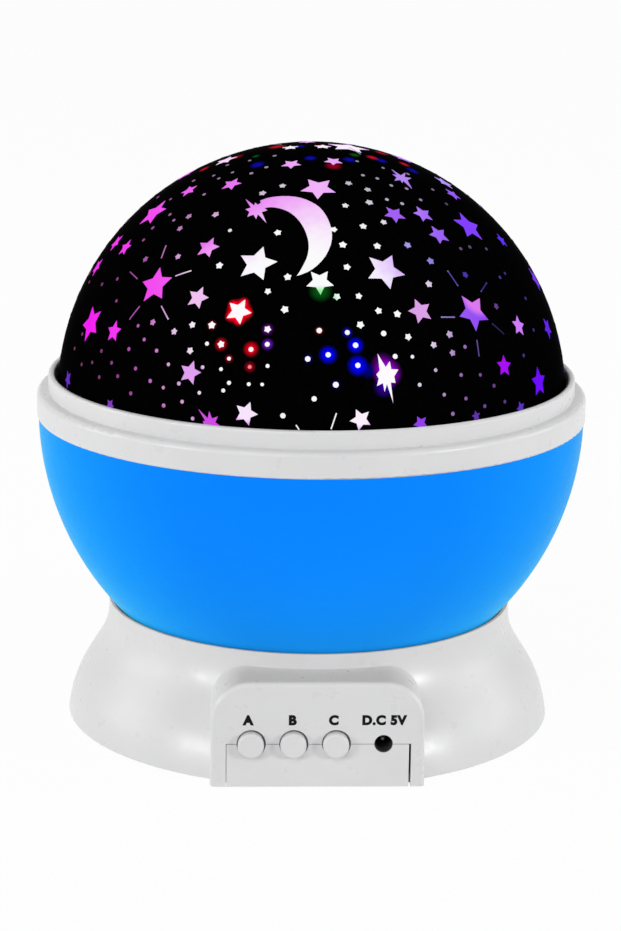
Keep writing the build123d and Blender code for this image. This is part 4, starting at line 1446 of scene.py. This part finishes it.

# Painted light round the windows, emitted by the print: a mark on the chart, the reach in millimetres and
# the colour.
PAINTED_SPILLS: tuple[tuple[Flat, float, Colour], ...] = (
    ((576, 541), 1.4, RED),
    ((589, 573), 1.4, RED),
    ((561, 598), 1.4, RED),
    ((534, 584), 1.4, RED),
    ((542, 548), 1.4, RED),
    ((505, 672), 1.7, tone(190, 0, 26)),
    ((599, 687), 1.9, RED),
    ((595, 743), 1.4, DIM_RED),
    ((476, 612), 1.3, DIM_RED),
    ((530, 717), 1.1, DIM_RED),
    ((813, 629), 1.2, tone(90, 10, 10)),
    ((841, 705), 2.2, DEEP_BLUE),
    ((927, 675), 2.0, DEEP_BLUE),
    ((934, 739), 2.5, DEEP_BLUE),
    ((901, 635), 1.4, DIM_BLUE),
    ((968, 755), 2.0, tone(0, 0, 110)),
    ((1012, 735), 2.8, DIM_VIOLET),
    ((1027, 762), 3.5, VIOLET),
    ((1016, 805), 2.6, tone(40, 0, 130)),
    ((651, 625), 1.5, DIM_VIOLET),
    ((651, 672), 1.5, tone(100, 20, 175)),
    ((817, 505), 2.8, GREEN),
    ((778, 718), 1.3, tone(0, 0, 90)),
    ((865, 799), 1.3, tone(0, 0, 80)),
    ((619, 109), 2.0, DIM_BLUE),
    ((785, 88), 1.7, DIM_BLUE),
    ((908, 93), 1.8, DIM_BLUE),
    ((1008, 96), 1.7, DIM_BLUE),
    ((1106, 127), 1.9, DIM_BLUE),
    ((750, 51), 1.6, DIM_BLUE),
    ((556, 84), 1.8, DIM_RED),
    ((452, 122), 1.6, FAR_RED),
    ((681, 52), 2.4, FAR_RED),
    ((857, 112), 2.2, DIM_RED),
    ((979, 86), 1.7, FAR_RED),
    ((1008, 72), 1.9, FAR_RED),
    ((1080, 107), 1.6, FAR_RED),
    ((823, 50), 2.0, DIM_RED),
    ((924, 78), 1.5, GREEN),
    ((614, 82), 1.1, GREEN),
)

# Windows that take one lamp's colour.
TINTS: tuple[tuple[Flat, float, Colour], ...] = (
    ((817, 545), 4.5, tone(140, 236, 148)),
    ((408, 761), 4.2, tone(224, 160, 240)),
    ((432, 526), 4.2, tone(240, 192, 240)),
    ((585, 876), 3.2, tone(246, 228, 250)),
    ((942, 893), 3.2, tone(252, 240, 250)),
    ((1130, 568), 4.2, tone(220, 160, 232)),
    ((1306, 520), 5.3, tone(218, 120, 240)),
    ((1281, 302), 5.0, tone(128, 62, 255)),
    ((1385, 346), 3.6, tone(88, 44, 238)),
    ((1090, 361), 1.6, tone(178, 166, 250)),
    ((1162, 411), 1.6, tone(160, 150, 244)),
    ((1271, 454), 1.5, tone(100, 80, 235)),
    ((1388, 456), 1.8, tone(76, 60, 220)),
    ((1271, 370), 2.2, tone(126, 122, 146)),
    ((1212, 232), 1.0, tone(124, 132, 166)),
    ((1049, 265), 3.2, tone(160, 96, 242)),
    ((1231, 465), 2.4, tone(105, 85, 195)),
    ((1329, 493), 2.0, tone(95, 75, 205)),
    ((1217, 587), 2.3, tone(165, 145, 220)),
    ((1374, 624), 2.7, tone(76, 66, 145)),
    ((1311, 684), 2.7, tone(132, 112, 202)),
    ((595, 743), 1.2, tone(250, 130, 135)),
    ((1023, 770), 7.0, BURST_WHITE),
    ((563, 569), 4.4, BURST_WHITE),
    ((1072, 151), 4.2, tone(180, 135, 242)),
    ((1438, 617), 3.4, tone(207, 124, 251)),
    ((25, 782), 4.0, tone(100, 40, 190)),
    ((157, 862), 4.0, tone(130, 60, 190)),
    ((471, 912), 4.4, tone(205, 75, 225)),
    ((1395, 738), 4.0, tone(165, 10, 240)),
    ((1503, 793), 5.0, tone(105, 5, 250)),
    ((1132, 912), 3.4, tone(145, 62, 232)),
    ((1303, 897), 2.6, tone(95, 50, 165)),
    ((1445, 872), 3.2, tone(92, 48, 192)),
    ((1204, 164), 4.6, tone(176, 146, 246)),
    ((722, 55), 4.0, tone(252, 238, 253)),
    ((824, 52), 4.0, tone(252, 238, 253)),
    ((905, 56), 5.0, tone(248, 236, 254)),
    ((520, 95), 4.0, tone(250, 214, 250)),
)

# The colours of the wide windows, and then of the small ones, from the dome's left to its right: the
# place in millimetres and the colour there.
WIDE_COLOURS: tuple[tuple[float, Colour], ...] = (
    (-50, tone(243, 26, 243)),
    (-36, tone(242, 75, 240)),
    (-18, tone(230, 120, 242)),
    (0, tone(242, 180, 249)),
    (13, tone(210, 150, 252)),
    (25, tone(156, 100, 246)),
    (40, tone(140, 50, 240)),
    (55, tone(75, 10, 225)),
)
PIN_COLOURS: tuple[tuple[float, Colour], ...] = (
    (-52, tone(200, 105, 165)),
    (-40, tone(240, 116, 238)),
    (-26, tone(241, 186, 241)),
    (0, tone(250, 248, 254)),
    (20, tone(235, 220, 247)),
    (31, tone(192, 130, 228)),
    (48, tone(106, 76, 224)),
)


@dataclass
class StarDome:
    """The dome with its night-sky print and the windows in it.

    Attributes:
        nodes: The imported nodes.
        view: The camera whose picture the print's chart covers.
        radius: The dome's outer radius.
        spot: The mark on the chart where the lamps' colours add up to white.
    """

    nodes: dict[str, bpy.types.Object]
    view: Viewpoint
    radius: float = 0.0581
    spot: Flat = (760, 560)

    def build(self) -> list[bpy.types.Object]:
        """Dresses the dome and builds its windows.

        Returns:
            The windows, one piece for each kind.
        """
        centre = Vector((0, 0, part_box("star_dome")[1].z - self.radius))
        sky = NightSky(centre, self.radius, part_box("dome_collar")[1].z, self.view)
        # The print gets painted glow round the windows: red round one star, and the spills round the others.
        star_mark, star_reach = RED_STAR
        painted_star_spill = Halo(sky.place(star_mark), star_reach * MM, RED, core=0.5)
        spills = [Halo(sky.place(mark), reach * MM, colour) for mark, reach, colour in PAINTED_SPILLS]
        NightPrint("night_print", "printed_dome", (painted_star_spill, *spills)).dress(self.nodes["star_dome"])
        tints = tuple(Halo(sky.place(mark), reach * MM, colour, 0.6) for mark, reach, colour in TINTS)
        spot = sky.place(self.spot)
        wide = LitWindow("lit_window", "printed_dome", WIDE_COLOURS, spot, tints=tints)
        pin = LitWindow(
            "pin_window", "printed_dome", PIN_COLOURS, spot,
            white_reach=0.022, fade_reach=0.04, dim_share=0.3, dim_reach=0.052, tints=tints,
        )
        motifs = sky.layout()
        pieces = []
        for kind in Kind:
            piece = sky.raise_windows(kind, [motif for motif in motifs if motif.kind is kind])
            finish = wide if kind in (Kind.MOON, Kind.STAR, Kind.BURST) else pin
            finish.dress(piece)
            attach(piece, "turntable")
            pieces.append(piece)
        return pieces


@dataclass
class Turntable:
    """The bowl and the two rings that turn with the dome.

    Attributes:
        nodes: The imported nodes.
    """

    nodes: dict[str, bpy.types.Object]

    def build(self) -> list[bpy.types.Object]:
        """Dresses the bowl, the rings and the gear under the bowl.

        Returns:
            No new pieces.
        """
        BLUE.dress(self.nodes["bowl"])
        # The neck and the rings stay a clean white beside the blue.
        self.nodes["bowl"].visible_diffuse = False
        self.nodes["bowl"].visible_glossy = False
        WHITE.dress(self.nodes["rim_ring"], self.nodes["dome_collar"])
        NATURAL.dress(self.nodes["ring_gear"])
        STEEL.dress(self.nodes["ring_gear_screws"])
        return []


@dataclass
class ControlPanel:
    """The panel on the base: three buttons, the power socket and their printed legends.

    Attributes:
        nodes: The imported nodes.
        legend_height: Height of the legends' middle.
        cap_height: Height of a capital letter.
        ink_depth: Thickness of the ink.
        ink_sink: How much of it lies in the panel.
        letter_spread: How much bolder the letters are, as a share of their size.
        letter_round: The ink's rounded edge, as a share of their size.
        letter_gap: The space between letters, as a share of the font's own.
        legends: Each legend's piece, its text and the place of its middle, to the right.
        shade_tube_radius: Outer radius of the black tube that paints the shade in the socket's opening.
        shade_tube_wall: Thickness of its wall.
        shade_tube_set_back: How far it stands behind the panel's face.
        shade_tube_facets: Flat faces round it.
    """

    nodes: dict[str, bpy.types.Object]
    legend_height: float = 0.0157
    cap_height: float = 0.00234
    ink_depth: float = 0.00004
    ink_sink: float = 0.00002
    letter_spread: float = 0.022
    letter_round: float = 0.044
    letter_gap: float = 1.12
    legends: tuple[tuple[str, str, float], ...] = (
        ("legend_a", "A", -0.0151),
        ("legend_b", "B", -0.00548),
        ("legend_c", "C", 0.00336),
        ("legend_socket", "D.C 5V", 0.01436),
    )
    shade_tube_radius: float = 0.00198
    shade_tube_wall: float = 0.0001
    shade_tube_set_back: float = 0.00015
    shade_tube_facets: int = 48

    def legend(self, name: str, text: str, across: float) -> bpy.types.Object:
        """Prints a legend on the panel's face.

        Args:
            name: The piece's name.
            text: What it says.
            across: The place of its middle, to the right.

        Returns:
            The new piece, a thin closed solid.
        """
        curve = bpy.data.curves.new(name, "FONT")
        curve.body = text
        curve.size = 1.0
        curve.offset = self.letter_spread
        curve.bevel_depth = self.letter_round
        curve.extrude = 0.5 - self.letter_round
        curve.space_character = self.letter_gap
        draft = bpy.data.objects.new(name + ".draft", curve)
        data = bpy.data.meshes.new_from_object(draft)
        bpy.data.objects.remove(draft)
        data.name = name
        low = Vector(min(v.co[i] for v in data.vertices) for i in range(3))
        high = Vector(max(v.co[i] for v in data.vertices) for i in range(3))
        middle, scale = (low + high) / 2, self.cap_height / (high.y - low.y)
        face = -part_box("bottom_cover")[0].y
        for vertex in data.vertices:
            x, y, z = vertex.co - middle
            deep = face - self.ink_sink + (z + 0.5) * self.ink_depth
            vertex.co = (across + x * scale, -deep, self.legend_height + y * scale)
        mesh = bmesh.new()
        mesh.from_mesh(data)
        bmesh.ops.remove_doubles(mesh, verts=mesh.verts, dist=1e-7)
        bmesh.ops.recalc_face_normals(mesh, faces=mesh.faces)
        mesh.to_mesh(data)
        mesh.free()
        piece = bpy.data.objects.new(name, data)
        bpy.context.scene.collection.objects.link(piece)
        INK.dress(piece)
        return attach(piece, "base")

    def shade_tube(self) -> bpy.types.Object:
        """Lines the socket's opening with a thin black tube that stands just behind the panel's face, as
        painted shade inside the hole.

        Returns:
            The new piece, a closed solid.
        """
        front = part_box("bottom_cover")[0].y + self.shade_tube_set_back
        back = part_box("dc_jack")[0].y
        low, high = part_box("dc_jack")
        middle = (low + high) / 2
        outer, inner = self.shade_tube_radius, self.shade_tube_radius - self.shade_tube_wall
        angles = [math.tau * step / self.shade_tube_facets for step in range(self.shade_tube_facets)]
        mesh = bmesh.new()
        rings = []
        for radius, depth in ((outer, front), (outer, back), (inner, back), (inner, front)):
            ring = [(radius * math.cos(angle), radius * math.sin(angle)) for angle in angles]
            rings.append([mesh.verts.new((middle.x + x, depth, middle.z + z)) for x, z in ring])
        for here, after in zip(rings, rings[1:] + rings[:1]):
            for step in range(self.shade_tube_facets):
                following = (step + 1) % self.shade_tube_facets
                mesh.faces.new((here[step], here[following], after[following], after[step]))
        bmesh.ops.recalc_face_normals(mesh, faces=mesh.faces)
        # The black tube is painted shade inside the socket's opening.
        piece = linked("socket_shade_tube", mesh)
        BLACK.dress(piece)
        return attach(piece, "base")

    def build(self) -> list[bpy.types.Object]:
        """Dresses the buttons and the socket, and prints the legends.

        Returns:
            The shade tube and the legends.
        """
        for key in "abc":
            WHITE.dress(self.nodes[f"button_{key}"])
            BLACK.dress(self.nodes[f"switch_body_{key}"], self.nodes[f"switch_plunger_{key}"])
        BLACK.dress(self.nodes["dc_jack"])
        # The pin takes the darkened steel, painted shade for the recess it sits in.
        PIN_SHADE_STEEL.dress(self.nodes["dc_jack_pin"])
        return [self.shade_tube(), *(self.legend(*legend) for legend in self.legends)]


@dataclass
class Base:
    """The white base shell, its cover, feet, screws and battery door.

    Attributes:
        nodes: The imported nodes.
    """

    nodes: dict[str, bpy.types.Object]

    def build(self) -> list[bpy.types.Object]:
        """Dresses the base's own pieces.

        Returns:
            No new pieces.
        """
        WHITE.dress(*(self.nodes[name] for name in ("base_shell", "bottom_cover", "battery_door")))
        RUBBER.dress(self.nodes["rubber_feet"])
        STEEL.dress(self.nodes["base_screws"], self.nodes["battery_door_screw"])
        return []


@dataclass
class PowerPack:
    """The four cells with their contacts and springs.

    Attributes:
        nodes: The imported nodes.
    """

    nodes: dict[str, bpy.types.Object]

    def build(self) -> list[bpy.types.Object]:
        """Dresses the cells and the metal that they touch.

        Returns:
            No new pieces.
        """
        for number in range(1, 5):
            low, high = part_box(f"battery_{number}")
            if number % 2:
                sleeve = CellSleeve("cell_sleeve_odd", "battery_sleeve", low.y, high.y)
            else:
                sleeve = CellSleeve("cell_sleeve_even", "battery_sleeve", high.y, low.y)
            sleeve.dress(self.nodes[f"battery_{number}"])
        STEEL.dress(self.nodes["battery_contacts"], self.nodes["battery_springs"])
        return []


@dataclass
class Works:
    """What turns and lights the dome: boards, lamps, tower, motor, gears and wires.

    Attributes:
        nodes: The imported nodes.
    """

    nodes: dict[str, bpy.types.Object]

    def build(self) -> list[bpy.types.Object]:
        """Dresses each hidden piece in its own finish.

        Returns:
            No new pieces.
        """
        natural = ("bearing_ring", "turntable_hub", "light_tower", "drive_gear", "gearbox_case")
        NATURAL.dress(*(self.nodes[name] for name in natural))
        MASK.dress(self.nodes["main_board"], self.nodes["led_board"])
        BLACK.dress(self.nodes["board_parts"], self.nodes["led_resistors"])
        steel = ("main_board_screws", "gearbox_screw", "motor_can", "hub_screws", "tower_screws")
        STEEL.dress(*(self.nodes[name] for name in steel))
        STEEL.dress(self.nodes["led_board_screws"], self.nodes["output_shaft"])
        lamps = {
            "white": (tone(240, 238, 225), (1.0, 0.98, 0.92)),
            "green": (tone(110, 215, 120), (0.1, 1.0, 0.2)),
            "red": (tone(225, 60, 50), (1.0, 0.05, 0.04)),
            "blue": (tone(60, 90, 235), (0.05, 0.1, 1.0)),
        }
        for name, (tint, light) in lamps.items():
            Epoxy(f"epoxy_{name}", f"lamp_{name}", tint, light).dress(self.nodes[f"led_{name}"])
        WIRE.dress(*(self.nodes[name] for name in ("led_wires", "motor_wires", "battery_wires")))
        return []


# ------------------------------------------------------------------------------------- studio


@dataclass
class Studio:
    """A white floor and surround with soft lamps.

    Attributes:
        floor_radius: How far the floor reaches.
        ambient: Strength of the surround's light on the object.
        floor_glow: How much of the floor's look is plain white, which leaves a pale shadow.
        lamps: Each lamp's name, place, size and power in watts.
        target: The point that the lamps face.
    """

    floor_radius: float = 6.0
    ambient: float = 0.32
    floor_glow: float = 0.96
    lamps: tuple[tuple[str, Vector, float, float], ...] = (
        ("lamp_front", Vector((-0.55, -1.3, 1.1)), 1.0, 7.2),
        ("lamp_right", Vector((1.4, -0.9, 0.42)), 0.35, 10.5),
        ("lamp_left", Vector((-1.4, -0.9, 0.42)), 0.32, 7.7),
        ("lamp_right_back", Vector((1.5, 0.25, 0.5)), 1.0, 5.2),
        ("lamp_left_back", Vector((-1.5, 0.25, 0.5)), 1.0, 6.0),
    )
    target: Vector = Vector((0, 0, 0.06))

    def surround(self) -> None:
        """Sets the world: plain white where it is seen, softer as light."""
        world = bpy.data.worlds.new("surround")
        world.use_nodes = True
        nodes = world.node_tree.nodes
        links = world.node_tree.links
        nodes.clear()
        light = nodes.new("ShaderNodeBackground")
        plain = nodes.new("ShaderNodeBackground")
        light.inputs["Color"].default_value = rgba((1, 1, 1))
        light.inputs["Strength"].default_value = self.ambient
        plain.inputs["Color"].default_value = rgba((1, 1, 1))
        plain.inputs["Strength"].default_value = 1.0
        mix = nodes.new("ShaderNodeMixShader")
        out = nodes.new("ShaderNodeOutputWorld")
        links.new(background_rays(world.node_tree), mix.inputs["Fac"])
        links.new(light.outputs["Background"], mix.inputs[1])
        links.new(plain.outputs["Background"], mix.inputs[2])
        links.new(mix.outputs["Shader"], out.inputs["Surface"])
        bpy.context.scene.world = world

    def floor_material(self) -> bpy.types.Material:
        """Builds a white floor that shows as the surround does and keeps a pale shadow.

        Returns:
            The material.
        """
        graph = Graph("studio_floor")
        graph.put(Base_Color=rgba((0.92, 0.92, 0.92)), Roughness=0.9, Specular_IOR_Level=0.0)
        share = graph.add("Math", operation="MULTIPLY")
        share.inputs[1].default_value = self.floor_glow
        graph.join(background_rays(graph.tree), share.inputs[0])
        glow = graph.add("Emission")
        glow.inputs["Color"].default_value = rgba((1, 1, 1))
        glow.inputs["Strength"].default_value = 1.0
        mix = graph.add("MixShader")
        graph.join(share.outputs["Value"], mix.inputs["Fac"])
        graph.join(graph.shader.outputs["BSDF"], mix.inputs[1])
        graph.join(glow.outputs["Emission"], mix.inputs[2])
        graph.join(mix.outputs["Shader"], graph.tree.nodes["Material Output"].inputs["Surface"])
        return graph.material

    def floor(self) -> bpy.types.Object:
        """Lays the floor at the height that the object stands on.

        Returns:
            The floor.
        """
        mesh = bmesh.new()
        bmesh.ops.create_circle(mesh, cap_ends=True, segments=96, radius=self.floor_radius)
        floor = linked("studio_floor", mesh)
        floor.data.materials.append(self.floor_material())
        return floor

    def lamp(self, name: str, place: Vector, size: float, power: float) -> bpy.types.Object:
        """Hangs a soft lamp that faces the object.

        Args:
            name: The lamp's name.
            place: Where it hangs.
            size: Its width.
            power: Its power in watts.

        Returns:
            The lamp.
        """
        data = bpy.data.lights.new(name, "AREA")
        data.shape = "DISK"
        data.size = size
        data.energy = power
        lamp = bpy.data.objects.new(name, data)
        lamp.location = place
        lamp.rotation_mode = "QUATERNION"
        lamp.rotation_quaternion = (self.target - place).to_track_quat("-Z", "Y")
        bpy.context.scene.collection.objects.link(lamp)
        return lamp

    def build(self) -> None:
        """Sets the surround, the floor and the lamps."""
        self.surround()
        self.floor()
        for name, place, size, power in self.lamps:
            self.lamp(name, place, size, power)


def main() -> None:
    """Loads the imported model, builds the scene around it and reports each piece."""
    logging.basicConfig(level=logging.INFO, format="%(name)s: %(message)s")
    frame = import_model()
    nodes = frame["nodes"]
    scene = bpy.context.scene
    scene.view_settings.view_transform = "Standard"
    view = Viewpoint()
    view.build()
    Studio().build()
    parts = (Base(nodes), ControlPanel(nodes), PowerPack(nodes), Works(nodes), Turntable(nodes))
    for part in (*parts, StarDome(nodes, view)):
        pieces = part.build()
        log.info("%s: %d pieces added", type(part).__name__, len(pieces))
        for piece in pieces:
            log.info("  %s, %d faces", piece.name, len(piece.data.polygons))


if __name__ == "__main__":
    main()
